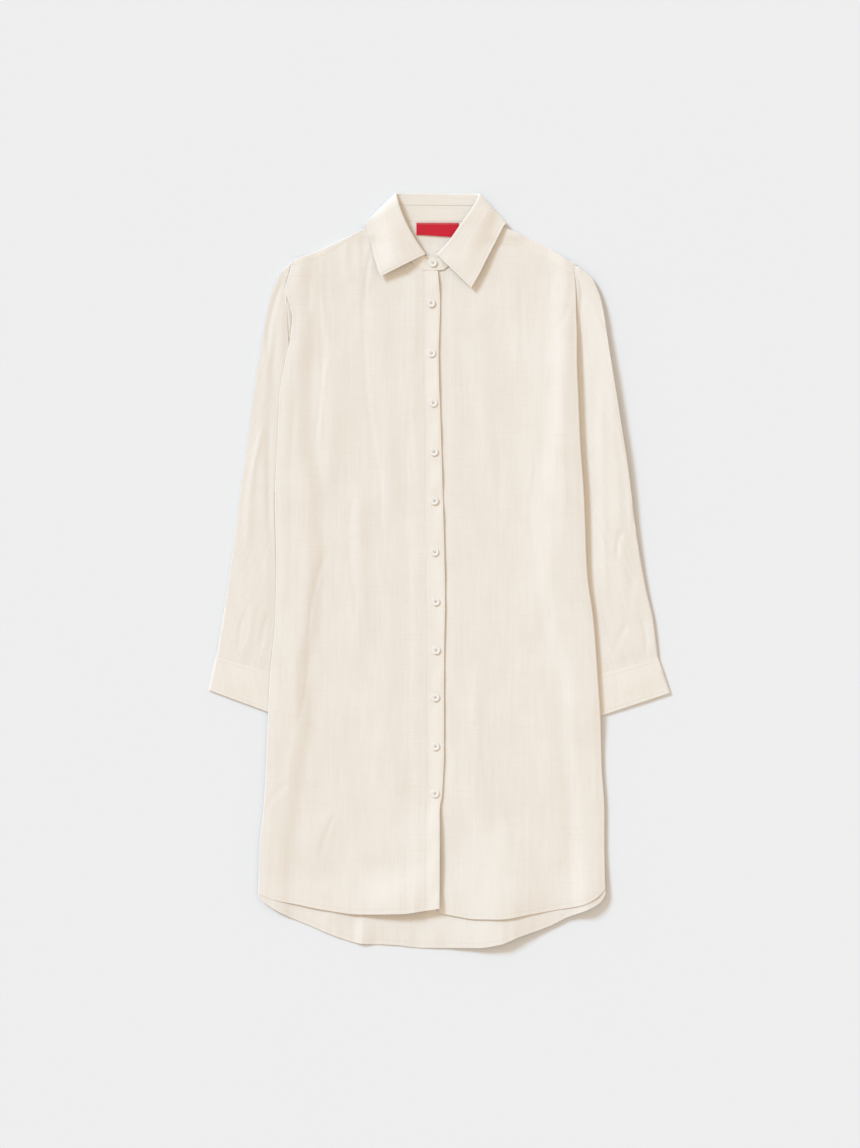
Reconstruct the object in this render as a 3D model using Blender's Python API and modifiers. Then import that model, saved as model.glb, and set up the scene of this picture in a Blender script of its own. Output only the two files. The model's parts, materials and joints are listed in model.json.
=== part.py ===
"""A long linen shirt laid flat on its back, buttoned, with its sleeves beside the body.

Sizes are in millimetres and become metres where a mesh is made. X runs to the viewer's right,
Y towards the collar and Z up from the surface that the shirt lies on. Every ply of cloth is a
sheet worked out from tables of the garment's own outline, and a wall is put on it afterwards.
"""

import math

import bpy
import numpy as np

for old in list(bpy.data.objects):
    bpy.data.objects.remove(old, do_unlink=True)
SHIRT = bpy.data.collections.new("long_shirt")
bpy.context.scene.collection.children.link(SHIRT)

MM = 0.001

# Cloth: its wall, the room between pieces, and the heights of the ply on the floor and of one more
WALL = 1.0
GAP = 0.3
CLEARANCE = 0.05
SEAM_SLACK = 0.9
PLY = WALL + GAP
FLOOR_PLY = WALL / 2

# Rise of the under layers over the sleeves, and over the collar's turned-under part
OVER_SLEEVE = 2.9
OVER_SLEEVE_SLACK = 3.0
LIFT_RAMP = 26.0
OVER_COLLAR = 1.5
COLLAR_LIFT_FROM, COLLAR_LIFT_RAMP = 455.0, 16.0
COLLAR_LIFT_MIDDLE, COLLAR_LIFT_HALF, COLLAR_LIFT_SIDE = -6.0, 132.0, 18.0

# The top layer's looseness, which fades at the sides and at the band
PUFF = 0.7
SIDE_FADE = 12.0
BAND_MIDDLE, BAND_HALF, BAND_FADE = -8.0, 15.0, 14.0

# Bands: the rise of the top front to its band, the under band's places, the open end at the hem
BAND_RISE_WIDTH, BAND_RISE_RAMP = 26.0, 22.0
BAND_TOP = 418.7
BAND_UNDER_HEM = -479.0
BAND_UNDER_SETBACK = 3.0
OVERLAP_SETBACK = 1.5
BAND_CLEARANCE = 0.1
OPEN_END_LIFT, OPEN_END_FROM, OPEN_END_RAMP = 1.8, -300.0, 60.0
OPEN_EDGE_FROM, OPEN_EDGE_RAMP = -12.0, 14.0

# Yoke: the back seam, and how far its fold over the shoulder is drawn in
YOKE_BACK_SEAM = 399.0
SHOULDER_INSET = 2.0
NECK_LEFT, NECK_RIGHT = -83.0, 74.0
YOKE_RIGHT_END = 181.0

# Sleeve and cuff
SLEEVE_PLIES = 1.6
SLEEVE_PUFF = 3.0
CUFF_PUFF = 2.0
EDGE_CURL = 1.4
BODY_COVER = 2.0
LEAST_COVER, MOST_COVER = 0.12, 0.97
FLAT_WIDTH, PUFF_RAMP = 14.0, 32.0
INNER_PLACE, OUTER_PLACE = 0.02, 0.99

# Collar: the roll, its share of the stand's height, and the middle that it runs round
ROLL_RADIUS = 1.3
COLLAR_SEAM_SHARE = 0.42
COLLAR_SEAM_RUN = 5.0
COLLAR_SEAM_GAP = 0.04
STAND_TOP_SHARE = 0.985
NECK_MIDDLE = (-2.0, 440.0)

# Buttons
BUTTON_DIAMETER = 11.4
BUTTON_THICKNESS = 2.0
BUTTON_SIDES = 12
BUTTON_LIFT = 0.25

# How many points each piece has across and along
FRONT_OVER_GRID = (23, 25)
FRONT_UNDER_GRID = (20, 24)
BAND_OVER_GRID = (3, 29)
BAND_UNDER_GRID = (2, 20)
BACK_ROWS = 19
TOP_CROWDING = 0.5
PANEL_PASSES = 8
TUBE_SAMPLES = 201

LINEN_ROUGHNESS = 0.9
PEARL_ROUGHNESS = 0.25
SMOOTH_ANGLE = 50.0

LINEN = (0.83, 0.76, 0.66, 1.0)
LABEL_RED = (0.60, 0.015, 0.03, 1.0)
PEARL = (0.86, 0.84, 0.80, 1.0)


def table(columns, *rows):
    """A table with named columns, each an array."""
    values = np.array(rows, float)
    return {name: values[:, i] for i, name in enumerate(columns.split())}


def smooth(t):
    t = np.clip(t, 0.0, 1.0)
    return t * t * (3 - 2 * t)


def along(rows, key, column, at):
    """The column's value where the key column has the value at, read from a smooth curve."""
    order = np.argsort(rows[key])
    x, y = rows[key][order], rows[column][order]
    slope = np.diff(y) / np.diff(x)
    tangent = np.empty_like(y)
    tangent[0], tangent[-1] = slope[0], slope[-1]
    same_way = slope[:-1] * slope[1:] > 0
    with np.errstate(divide="ignore", invalid="ignore"):
        mean = 2 * slope[:-1] * slope[1:] / (slope[:-1] + slope[1:])
    tangent[1:-1] = np.where(same_way, mean, 0.0)
    at = np.clip(at, x[0], x[-1])
    i = np.clip(np.searchsorted(x, at, side="right") - 1, 0, len(x) - 2)
    step = x[i + 1] - x[i]
    t = (at - x[i]) / step
    return (
        (2 * t**3 - 3 * t**2 + 1) * y[i]
        + (t**3 - 2 * t**2 + t) * step * tangent[i]
        + (3 * t**2 - 2 * t**3) * y[i + 1]
        + (t**3 - t**2) * step * tangent[i + 1]
    )


# Outline of the body: where its left and right edges are, and how far in the sleeve and cuff
# lie under it
BODY = table(
    "y left right left_under right_under",
    (440, -204, 185, -199, 180),
    (412, -211, 189, -203, 182),
    (395, -215, 191, -205, 182),
    (355, -206, 192, -199, 182),
    (328, -208, 193, -199, 182),
    (296, -215, 193, -202, 182),
    (243, -224, 195, -204, 179),
    (190, -226, 197, -203, 174),
    (100, -230, 203, -189, 162),
    (0, -228, 207, -188, 162),
    (-70, -230, 216, -192, 170),
    (-149, -237, 222, -208, 192),
    (-215, -240, 226, -205, 196),
    (-270, -242, 227, -214, 200),
    (-336, -246, 231, -222, 208),
    (-382, -251, 231, -228, 210),
    (-480, -254, 233, -232, 212),
)

# Edge of the top front, and the seam of its band
OVERLAP = table(
    "y edge seam",
    (420, -2, -22),
    (375, 1, -22),
    (300, -1, -22),
    (200, 2, -21),
    (100, 5, -20.5),
    (25, 7, -20),
    (-45, 8, -19),
    (-98, 7, -18.5),
    (-175, 6.5, -18),
    (-248, 6.5, -18.5),
    (-312, 4, -19),
    (-335, 0.5, -19.5),
    (-426, 0.5, -20.5),
    (-480, 0, -20.5),
)

YOKE_SEAM_LEFT = table("x y", (-204, 428), (-170, 438), (-129, 462), (-102, 477), (-79, 485))
NECKLINE_LEFT = table("x y", (-79, 485), (-74, 475), (-65, 460), (-56, 445), (-41, 430), (-22, 419))
YOKE_SEAM_RIGHT = table("x y", (70, 483), (97, 467), (116, 455), (151, 434), (184, 416))
NECKLINE_RIGHT = table("x y", (5, 418), (22, 429), (38, 443), (50, 458), (62, 473), (70, 483))
FRONT_HEM_LEFT = table(
    "x y", (-255, -452), (-248, -454), (-234, -460), (-200, -467), (-161, -475), (-112, -481),
    (-53, -480), (-23, -476), (0, -472.5),
)
FRONT_HEM_RIGHT = table(
    "x y", (0, -479), (22, -483.5), (51, -487.5), (83, -487.5), (126, -481), (161, -475),
    (199, -468), (216, -460), (230, -447.5), (234, -439),
)
BACK_HEM = table(
    "x y", (-255, -454), (-249, -461), (-220, -480), (-181, -497), (-142, -513), (-110, -522),
    (-64, -524), (-22, -528), (52, -528), (85, -523), (110, -513), (155, -497), (179, -485),
    (208, -474), (226, -463), (233, -451),
)
SHOULDER_LEFT = table(
    "x y", (-204, 434.5), (-177, 444.5), (-140, 461.5), (-114, 474), (-102, 480), (-83, 492)
)
SHOULDER_RIGHT = table(
    "x y", (74, 493), (90, 481), (102, 475.5), (116, 469.5), (151, 452), (183, 432)
)
BACK_NECK = table("x y", (-83, 492), (-66, 490), (-51, 489), (32, 488.5), (57, 490), (74, 493))

# Sleeves, from the armhole to the cuff seam: the outer fold and the inner fold
SLEEVE_LEFT = table(
    "along outer_x outer_y inner_x inner_y",
    (0.00, -202, 433, -205, 196),
    (0.05, -215, 424, -202, 180),
    (0.10, -226, 409, -199, 163),
    (0.18, -237, 378, -195, 130),
    (0.30, -249, 315, -191, 85),
    (0.42, -258, 256, -191, 48),
    (0.55, -267, 190, -192, 8),
    (0.68, -279, 105, -194, -35),
    (0.80, -289, 25, -199, -75),
    (0.90, -300, -50, -206, -112),
    (1.00, -311, -117, -215, -147),
)
SLEEVE_RIGHT = table(
    "along outer_x outer_y inner_x inner_y",
    (0.00, 184, 430, 177, 196),
    (0.05, 200, 421, 174, 180),
    (0.10, 213, 409, 171, 163),
    (0.18, 226, 378, 166, 130),
    (0.30, 239, 300, 163, 85),
    (0.42, 252, 220, 163, 48),
    (0.55, 264, 143, 165, 8),
    (0.68, 276, 50, 170, -35),
    (0.80, 289, -25, 178, -75),
    (0.90, 298, -70, 188, -112),
    (1.00, 303, -120, 200, -150),
)
CUFF_LEFT = table(
    "along outer_x outer_y inner_x inner_y", (0, -312.5, -120, -215.5, -149), (1, -323, -167, -212, -208)
)
CUFF_RIGHT = table(
    "along outer_x outer_y inner_x inner_y", (0, 306, -122, 201, -152.5), (1, 323, -171, 211, -208)
)

# Folds of the top layer: a ridge or a trough along a line, with its width and its height
FOLDS = table(
    "x0 y0 x1 y1 width height",
    (-190, 432, -186, 380, 9, 1.3),
    (-181, 434, -176, 350, 10, 1.6),
    (-168, 438, -160, 330, 11, 1.6),
    (-131, 459, -126, 400, 10, 1.3),
    (-116, 466, -112, 380, 11, 1.5),
    (-97, 474, -92, 400, 9, 1.2),
    (-145, 300, -152, 120, 24, 2.2),
    (-90, 360, -70, 60, 22, 1.8),
    (-40, 370, -44, 190, 20, 1.2),
    (-180, 40, -200, -220, 26, 1.8),
    (-112, 110, -118, -150, 22, 1.8),
    (-150, -340, -175, -420, 26, 1.5),
    (-70, -120, -60, -400, 24, 1.4),
    (60, 380, 72, 120, 22, 1.6),
    (104, 400, 110, 260, 24, 1.4),
    (172, 375, 176, 20, 20, 2.2),
    (132, 150, 138, -90, 24, 1.6),
    (56, -150, 60, -380, 22, 1.6),
    (150, -200, 160, -430, 26, 1.5),
)

# Stations along the collar, from the left front end round the neck to the right front end.
# roll is the fold that shows, neck the seam to the shirt, edge the free edge of the leaf.
# turn is the way that the leaf lies from the stand: 0 above it, 180 below it.
COLLAR = table(
    "roll_x roll_y roll_z neck_x neck_y neck_z edge_x edge_y edge_z turn",
    (-20, 442, 7.0, -22, 420, 3.3, -82, 411, 5.6, 0),
    (-30, 456, 8.5, -38, 430, 3.5, -86, 421, 6.2, 0),
    (-40, 472, 10.0, -55, 446, 3.9, -91, 438, 6.8, 0),
    (-50, 492, 11.0, -67, 464, 4.3, -96, 459, 7.2, 0),
    (-57, 511, 11.0, -77, 481, 4.6, -101, 477, 7.4, 0),
    (-59.5, 521, 9.5, -80.5, 489, 4.8, -103, 482, 6.6, 35),
    (-60.5, 526, 7.0, -82.5, 494.5, 3.2, -105, 484.5, 4.0, 90),
    (-58, 527, 4.6, -79.5, 493, 2.1, -101, 482, 1.2, 145),
    (-50, 527, 3.0, -68, 490, 1.9, -88, 480, 0.5, 180),
    (-25, 527, 2.6, -34, 489, 1.9, -44, 480, 0.5, 180),
    (0, 526.5, 2.6, -3, 489, 1.9, -4, 480, 0.5, 180),
    (25, 526, 2.6, 26, 489, 1.9, 36, 480, 0.5, 180),
    (45, 526, 3.0, 58, 490, 1.9, 76, 480, 0.5, 180),
    (53, 526, 4.6, 70.5, 494.5, 2.1, 89, 483, 1.2, 145),
    (56, 525, 7.0, 73.5, 496, 3.2, 93.5, 486, 4.0, 90),
    (54.5, 520, 9.5, 71, 490, 4.8, 91, 483, 6.6, 35),
    (51, 513, 11.0, 68, 481, 4.6, 88, 478, 7.4, 0),
    (42, 499, 11.0, 58, 468, 4.3, 79, 460, 7.2, 0),
    (29, 481, 10.0, 42, 451, 3.9, 68, 439, 6.8, 0),
    (12, 457, 8.5, 24, 434, 3.5, 55, 413, 6.4, 0),
    (-3, 441, 7.0, 5, 420, 3.0, 44.5, 395, 5.8, 0),
)
# The stand's ends, past the collar leaves: the left one lies on the right one
STAND_ENDS = table(
    "top_x top_y bottom_x bottom_y z",
    (4.5, 432, 5, 427, 3.5),
    (1, 437.5, 3, 420, 3.5),
    (-9, 438, -9, 419.5, 3.5),
    (-17, 438.5, -17, 419.5, 3.6),
    (-3, 437, -1, 420, 1.85),
    (-14, 437, -14, 419.5, 1.85),
    (-24, 436, -24, 419.5, 1.85),
)

BUTTONS = table(
    "x y",
    (-11.5, 374), (-11, 304), (-8.5, 234.5), (-7.5, 166), (-7, 97.5), (-6.5, 26), (-5, -43.5),
    (-4.5, -111.5), (-5.5, -177.5), (-5.5, -246), (-6, -312),
)
STAND_BUTTON = (-10.0, 428.5)

LABEL = dict(left=-32.0, right=27.0, top=486.5, bottom=466.5)


def left_at(y):
    return along(BODY, "y", "left", y)


def right_at(y):
    return along(BODY, "y", "right", y)


def lower(x, y):
    """Height of the under layer's middle: it rises over the sleeves and the turned-under collar."""
    left_reach = along(BODY, "y", "left_under", y)
    right_reach = along(BODY, "y", "right_under", y)
    sleeve = np.maximum(
        smooth((left_reach + OVER_SLEEVE_SLACK + LIFT_RAMP - x) / LIFT_RAMP),
        smooth((x - right_reach + OVER_SLEEVE_SLACK + LIFT_RAMP) / LIFT_RAMP),
    )
    from_side = COLLAR_LIFT_HALF - abs(x - COLLAR_LIFT_MIDDLE)
    collar = smooth((y - COLLAR_LIFT_FROM) / COLLAR_LIFT_RAMP) * smooth(from_side / COLLAR_LIFT_SIDE)
    return FLOOR_PLY + np.maximum(OVER_SLEEVE * sleeve, OVER_COLLAR * collar)


def folds(x, y):
    """Height that the ridges and troughs add at a place, each soft at its ends."""
    total = 0.0
    for i in range(len(FOLDS["x0"])):
        row = {name: column[i] for name, column in FOLDS.items()}
        dx, dy = row["x1"] - row["x0"], row["y1"] - row["y0"]
        length = math.hypot(dx, dy)
        t = ((x - row["x0"]) * dx + (y - row["y0"]) * dy) / length**2
        away = abs((x - row["x0"]) * dy - (y - row["y0"]) * dx) / length
        ends = smooth(t / 0.12 + 0.6) * smooth((1.1 - t) / 0.45)
        total = total + row["height"] * ends * np.exp(-((away / row["width"]) ** 2) * 2)
    return total


def upper(x, y):
    """Height of the top layer's middle, above the under layer."""
    inside = np.minimum(x - left_at(y), right_at(y) - x)
    loose = smooth(inside / SIDE_FADE) * smooth((abs(x - BAND_MIDDLE) - BAND_HALF) / BAND_FADE)
    return lower(x, y) + PLY + loose * (PUFF + folds(x, y)) + CLEARANCE


def cloth(name, points, faces, colour):
    """An object from middle points in millimetres, with a wall put on it."""
    mesh = bpy.data.meshes.new(name)
    mesh.from_pydata([tuple(float(v) * MM for v in p) for p in points], [], faces)
    mesh.update()
    obj = bpy.data.objects.new(name, mesh)
    SHIRT.objects.link(obj)
    mesh.materials.append(finish(name, colour, LINEN_ROUGHNESS))
    wall = obj.modifiers.new("Wall", "SOLIDIFY")
    wall.thickness = WALL * MM
    wall.offset = 0.0
    mesh.shade_smooth()
    mesh.set_sharp_from_angle(angle=math.radians(SMOOTH_ANGLE))
    return obj


def finish(name, colour, roughness):
    material = bpy.data.materials.new(name + "_finish")
    material.use_nodes = True
    shader = material.node_tree.nodes["Principled BSDF"]
    shader.inputs["Base Color"].default_value = colour
    shader.inputs["Roughness"].default_value = roughness
    return material


def grid_faces(rows, columns, around=False, keep=lambda row, column: True):
    """The faces between rows of points. A tube's rows close on themselves."""
    faces = []
    for i in range(rows - 1):
        this, above = i * columns, (i + 1) * columns
        for j in range(columns if around else columns - 1):
            k = (j + 1) % columns
            if keep(i, j):
                faces.append((this + j, this + k, above + k, above + j))
    return faces


def sheet(name, grid, colour=LINEN, **options):
    """A cloth piece from rows of points."""
    rows, columns = len(grid), len(grid[0])
    points = [p for row in grid for p in row]
    return cloth(name, points, grid_faces(rows, columns, **options), colour)


def panel(left, right, bottom, top, columns, rows, height):
    """Rows of points that fill a panel between its side edges, its hem and its top."""
    grid = []
    for v in rows:
        row = []
        for u in columns:
            x, y = left(0) + u * (right(0) - left(0)), 0.0
            for _ in range(PANEL_PASSES):
                low, high = bottom(x), top(x)
                y = low + v * (high - low)
                x = left(y) + u * (right(y) - left(y))
            row.append((x, y, float(height(x, y))))
        grid.append(row)
    return grid


def spread(count, crowding=0.0):
    """Fractions from 0 to 1, closer together towards 1 where the crowding is more than nothing."""
    t = np.linspace(0, 1, count)
    return t + crowding * t * t * (1 - t)


def curve(rows):
    """The table's y at a place across the shirt."""
    return lambda x: float(along(rows, "x", "y", x))


def joined(first, second):
    """One curve after another. The second begins where the first ends."""
    return lambda x: (curve(first) if x < second["x"][0] else curve(second))(x)


def overlap(column, offset=0.0):
    """The overlap's edge or seam, moved across by an offset."""
    return lambda y: float(along(OVERLAP, "y", column, y)) + offset


def front_over():
    top = joined(YOKE_SEAM_LEFT, NECKLINE_LEFT)
    across, up = FRONT_OVER_GRID

    def height(x, y):
        to_seam = x - overlap("seam")(y)
        return upper(x, y) + PLY * smooth((to_seam + BAND_RISE_WIDTH) / BAND_RISE_RAMP)

    sheet("front_over", panel(
        left_at, overlap("seam", -GAP / 2), curve(FRONT_HEM_LEFT), lambda x: top(x) - SEAM_SLACK,
        spread(across), spread(up, TOP_CROWDING), height,
    ))


def front_under():
    top = joined(NECKLINE_RIGHT, YOKE_SEAM_RIGHT)
    across, up = FRONT_UNDER_GRID
    sheet("front_under", panel(
        overlap("edge", GAP / 2 - OVERLAP_SETBACK), right_at, curve(FRONT_HEM_RIGHT),
        lambda x: top(x) - SEAM_SLACK, spread(across), spread(up, TOP_CROWDING), upper,
    ))


def bands():
    """The top front's band, which gapes below the last button, and the plain band beneath it."""
    def over_height(x, y):
        open_end = smooth((OPEN_END_FROM - y) / OPEN_END_RAMP)
        open_edge = smooth((x - OPEN_EDGE_FROM) / OPEN_EDGE_RAMP)
        return lower(x, y) + 2 * PLY + BAND_CLEARANCE + OPEN_END_LIFT * open_end * open_edge

    def under_height(x, y):
        return lower(x, y) + PLY + CLEARANCE

    across, up = BAND_OVER_GRID
    sheet("band_over", panel(
        overlap("seam", GAP / 2), overlap("edge"), curve(FRONT_HEM_LEFT), lambda x: BAND_TOP,
        spread(across), spread(up), over_height,
    ))
    across, up = BAND_UNDER_GRID
    sheet("band_under", panel(
        overlap("seam", BAND_UNDER_SETBACK), overlap("edge", -OVERLAP_SETBACK - GAP / 2),
        lambda x: BAND_UNDER_HEM, lambda x: BAND_TOP, spread(across), spread(up), under_height,
    ))


def back():
    """The back, with its points closer together where it climbs over the sleeves."""
    over_left, flat = np.linspace(0, 0.18, 7), [0.24, 0.34, 0.44, 0.56, 0.66, 0.76]
    over_right = np.linspace(0.82, 1, 7)
    sheet("back", panel(
        left_at, right_at, curve(BACK_HEM), lambda x: YOKE_BACK_SEAM - GAP,
        np.concatenate([over_left, flat, over_right]), spread(BACK_ROWS), lower,
    ))


def yoke():
    """Round the back of the neck on the floor, and over each shoulder to the front seam."""
    left_columns = np.linspace(YOKE_SEAM_LEFT["x"][0], NECK_LEFT, 11)
    middle = np.linspace(-62, 52, 7)
    right_columns = np.linspace(NECK_RIGHT, YOKE_RIGHT_END, 10)
    tops = np.concatenate([left_columns, middle, right_columns])
    shares = (tops - tops[0]) / (tops[-1] - tops[0])
    first, last = float(left_at(YOKE_BACK_SEAM)), float(right_at(YOKE_BACK_SEAM))
    columns, flat_rows = [], 6
    for top_x, share in zip(tops, shares):
        neck = NECK_LEFT < top_x < NECK_RIGHT
        shoulder = SHOULDER_LEFT if top_x < 0 else SHOULDER_RIGHT
        fold_y = curve(BACK_NECK if neck else shoulder)(top_x)
        flat_end = fold_y - (0.0 if neck else SHOULDER_INSET)
        low_x = first + share * (last - first)
        column = []
        for t in np.linspace(0, 1, flat_rows):
            x = low_x + t * (top_x - low_x)
            y = YOKE_BACK_SEAM + t * (flat_end - YOKE_BACK_SEAM)
            column.append((x, y, float(lower(x, y))))
        base, top_y = column[-1][2], fold_y - SHOULDER_INSET
        high = base if neck else float(upper(top_x, top_y))
        half = (high - base) / 2
        seam_y = curve(YOKE_SEAM_LEFT if top_x < 0 else YOKE_SEAM_RIGHT)(top_x)
        column += [
            (top_x, fold_y - 0.9, base + 0.4 * half), (top_x, fold_y - 0.5, base + half),
            (top_x, fold_y - 0.9, high - 0.4 * half), (top_x, top_y, high),
            (top_x, seam_y, float(upper(top_x, seam_y))),
        ]
        columns.append(column)
    grid = [list(row) for row in zip(*columns)]

    def keep(row, column):
        wing = column < len(left_columns) - 1 or column >= len(left_columns) + len(middle)
        return row < flat_rows - 1 or wing

    remove_loose_points(sheet("yoke", grid, keep=keep))


def remove_loose_points(obj):
    """Takes away the points that no face uses, which the wall can't close round."""
    used = sorted({v for face in obj.data.polygons for v in face.vertices})
    place = {old: new for new, old in enumerate(used)}
    points = [tuple(obj.data.vertices[i].co) for i in used]
    faces = [tuple(place[v] for v in face.vertices) for face in obj.data.polygons]
    obj.data.clear_geometry()
    obj.data.from_pydata(points, [], faces)
    obj.data.update()
    obj.data.shade_smooth()


def point_at(rows, what, share):
    """The outer or the inner fold of a sleeve or a cuff, at a share of its length."""
    return np.array([float(along(rows, "along", f"{what}_{axis}", share)) for axis in "xy"])


def covered_share(inner, outer, side):
    """The share of the way from the inner to the outer fold that the body covers."""
    steps = np.linspace(0, 1, TUBE_SAMPLES)
    line = inner + steps[:, None] * (outer - inner)
    body_edge = right_at(line[:, 1]) if side > 0 else left_at(line[:, 1])
    covered = side * (line[:, 0] - body_edge) < BODY_COVER
    return float(np.clip(steps[covered].max() if covered.any() else 0, LEAST_COVER, MOST_COVER))


def tube(name, rows, side, shares, hidden, shown, puff):
    """A flattened tube between an outer and an inner fold, with its shown part puffed up."""
    grid = []
    for share in shares:
        outer, inner = point_at(rows, "outer", share), point_at(rows, "inner", share)
        crossing = covered_share(inner, outer, side)
        shown_width = (1 - crossing) * float(np.linalg.norm(outer - inner))
        puffed = float(smooth((shown_width - FLAT_WIDTH) / PUFF_RAMP))
        places = np.concatenate([
            np.linspace(INNER_PLACE, crossing, hidden),
            np.linspace(crossing, OUTER_PLACE, shown + 1)[1:],
        ])
        top, under = [], []
        for place in places:
            x, y = inner + place * (outer - inner)
            free = np.clip((place - crossing) / (1 - crossing), 0, 1)
            bulge = puff * puffed * smooth(free / 0.3) * (1 - 0.55 * smooth((free - 0.6) / 0.4))
            curl = 0.7 * EDGE_CURL * puffed * smooth((free - 0.55) / 0.45)
            top.append((x, y, float(FLOOR_PLY + SLEEVE_PLIES + bulge)))
            under.append((x, y, float(FLOOR_PLY + curl)))
        inner_fold = (*inner, FLOOR_PLY + SLEEVE_PLIES / 2)
        outer_fold = (*outer, (top[-1][2] + under[-1][2]) / 2)
        grid.append([inner_fold] + top + [outer_fold] + under[::-1])
    sheet(name, grid, around=True)


def sleeves():
    shoulder, arm = [0, 0.03, 0.06, 0.1, 0.15], np.linspace(0.21, 1, 10)
    shares = np.concatenate([shoulder, arm])
    tube("sleeve_left", SLEEVE_LEFT, -1, shares, 3, 6, SLEEVE_PUFF)
    tube("sleeve_right", SLEEVE_RIGHT, 1, shares, 3, 6, SLEEVE_PUFF)
    tube("cuff_left", CUFF_LEFT, -1, np.linspace(0, 1, 4), 3, 5, CUFF_PUFF)
    tube("cuff_right", CUFF_RIGHT, 1, np.linspace(0, 1, 4), 3, 5, CUFF_PUFF)


def collar_column(column, place):
    """A value of the collar's table at a place along it, from 0 to the last row."""
    rows = dict(COLLAR, row=np.arange(len(COLLAR["turn"]), dtype=float))
    return float(along(rows, "row", column, place))


def collar_frame(place):
    """The roll, the neck, the edge, and the way from the stand to the leaf, at a place."""
    roll, neck, edge = (
        np.array([collar_column(f"{what}_{axis}", place) for axis in "xyz"])
        for what in ("roll", "neck", "edge")
    )
    away = roll[:2] - neck[:2]
    away /= np.linalg.norm(away)
    sideways = np.array([-away[1], away[0]])
    if np.dot(sideways, roll[:2] - np.array(NECK_MIDDLE)) < 0:
        sideways = -sideways
    turn = math.radians(collar_column("turn", place))
    lean = np.array([*(sideways * math.sin(turn)), math.cos(turn)])
    return roll, neck, edge, np.array([*away, 0.0]), lean


def stand_point(place, height):
    """A point on the stand, at a height from its neck seam (0) to the collar seam (1)."""
    roll, neck, _, _, lean = collar_frame(place)
    from_end = min(place, len(COLLAR["turn"]) - 1 - place)
    share = 1 - COLLAR_SEAM_SHARE * float(0.4 + 0.6 * smooth(from_end / COLLAR_SEAM_RUN))
    return neck + height * share * (roll - lean * ROLL_RADIUS - neck)


def collar_stations():
    """Places along the collar, closer together where it turns."""
    return np.concatenate([
        np.arange(0, 4.5, 0.75), np.arange(4.5, 8, 0.5), np.arange(8, 12.1), np.arange(12.5, 16, 0.5),
        np.arange(16, 20.1, 0.8),
    ])


def end_strips(rows, heights):
    """The stand's upright rows of points at its ends."""
    strips = []
    for i in rows:
        end = {name: column[i] for name, column in STAND_ENDS.items()}
        bottom = np.array([end["bottom_x"], end["bottom_y"], end["z"]])
        top = np.array([end["top_x"], end["top_y"], end["z"]])
        strips.append([bottom + h * (top - bottom) for h in heights])
    return strips


def collar_stand():
    """One strip round the neck, from the end that lies on top to the end beneath it."""
    heights = (0.0, 0.5, 1.0)
    strips = end_strips(range(4), heights)
    for place in collar_stations():
        strips.append([stand_point(place, h * STAND_TOP_SHARE) for h in heights])
    sheet("collar_stand", strips + end_strips(range(4, 7), heights))


def collar_fall():
    """The collar leaf: up from the stand's seam, round the roll and out to the free edge."""
    strips = []
    for place in collar_stations():
        roll, _, edge, away, lean = collar_frame(place)
        low, high = roll - lean * ROLL_RADIUS, roll + lean * ROLL_RADIUS
        seam = stand_point(place, 1.0)
        seam = seam + (low - seam) * COLLAR_SEAM_GAP
        section = [
            seam, (seam + low) / 2, low - away * 0.6, roll + away * ROLL_RADIUS * 0.9, high - away * 0.6
        ]
        strips.append(section + [high + share * (edge - high) for share in (0.2, 0.45, 0.72, 1.0)])
    sheet("collar_fall", strips)


def label():
    grid = [
        [(x, y, float(lower(x, y)) + PLY) for x in np.linspace(LABEL["left"], LABEL["right"], 5)]
        for y in np.linspace(LABEL["bottom"], LABEL["top"], 3)
    ]
    sheet("label", grid, LABEL_RED)


def button(name, x, y, z):
    """A turned disc with a raised rim, its underside at the height z."""
    radius, thick = BUTTON_DIAMETER / 2, BUTTON_THICKNESS
    profile = [
        (0, thick * 0.7), (radius * 0.62, thick * 0.7), (radius * 0.8, thick), (radius, thick * 0.55),
        (radius * 0.82, 0), (0, 0),
    ]
    mesh = bpy.data.meshes.new(name)
    points = [(r * MM, 0.0, h * MM) for r, h in profile]
    mesh.from_pydata(points, [(i, i + 1) for i in range(len(points) - 1)], [])
    obj = bpy.data.objects.new(name, mesh)
    SHIRT.objects.link(obj)
    obj.location = (x * MM, y * MM, z * MM)
    turned = obj.modifiers.new("Turned", "SCREW")
    turned.steps = turned.render_steps = BUTTON_SIDES
    turned.use_merge_vertices = True
    turned.merge_threshold = 0.0001
    mesh.materials.append(finish(name, PEARL, PEARL_ROUGHNESS))


def buttons():
    """The front's buttons on the band, and the one on the stand."""
    on_cloth = WALL / 2 + GAP
    for i, (x, y) in enumerate(zip(BUTTONS["x"], BUTTONS["y"])):
        band = float(lower(x, y)) + 2 * PLY + BAND_CLEARANCE
        button(f"button_{i + 1:02d}", x, y, band + on_cloth + BUTTON_LIFT)
    button("button_stand", *STAND_BUTTON, STAND_ENDS["z"][2] + on_cloth)


back()
yoke()
front_over()
front_under()
bands()
sleeves()
collar_stand()
collar_fall()
label()
buttons()
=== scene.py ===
"""The finish of a long linen shirt that lies flat: cloth with its creases, stitching and buttons.

The shirt lies on the floor. x runs to the right of the picture, y towards the collar and z up.
Sizes and places are in millimetres and become metres where a mesh is made. The height of a piece
of cloth is that of the middle of its ply.
"""

import json
import math

import bpy
import numpy as np
from bpy.props import FloatProperty, FloatVectorProperty, PointerProperty
from mathutils import Matrix, Vector
from mathutils.bvhtree import BVHTree

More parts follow.
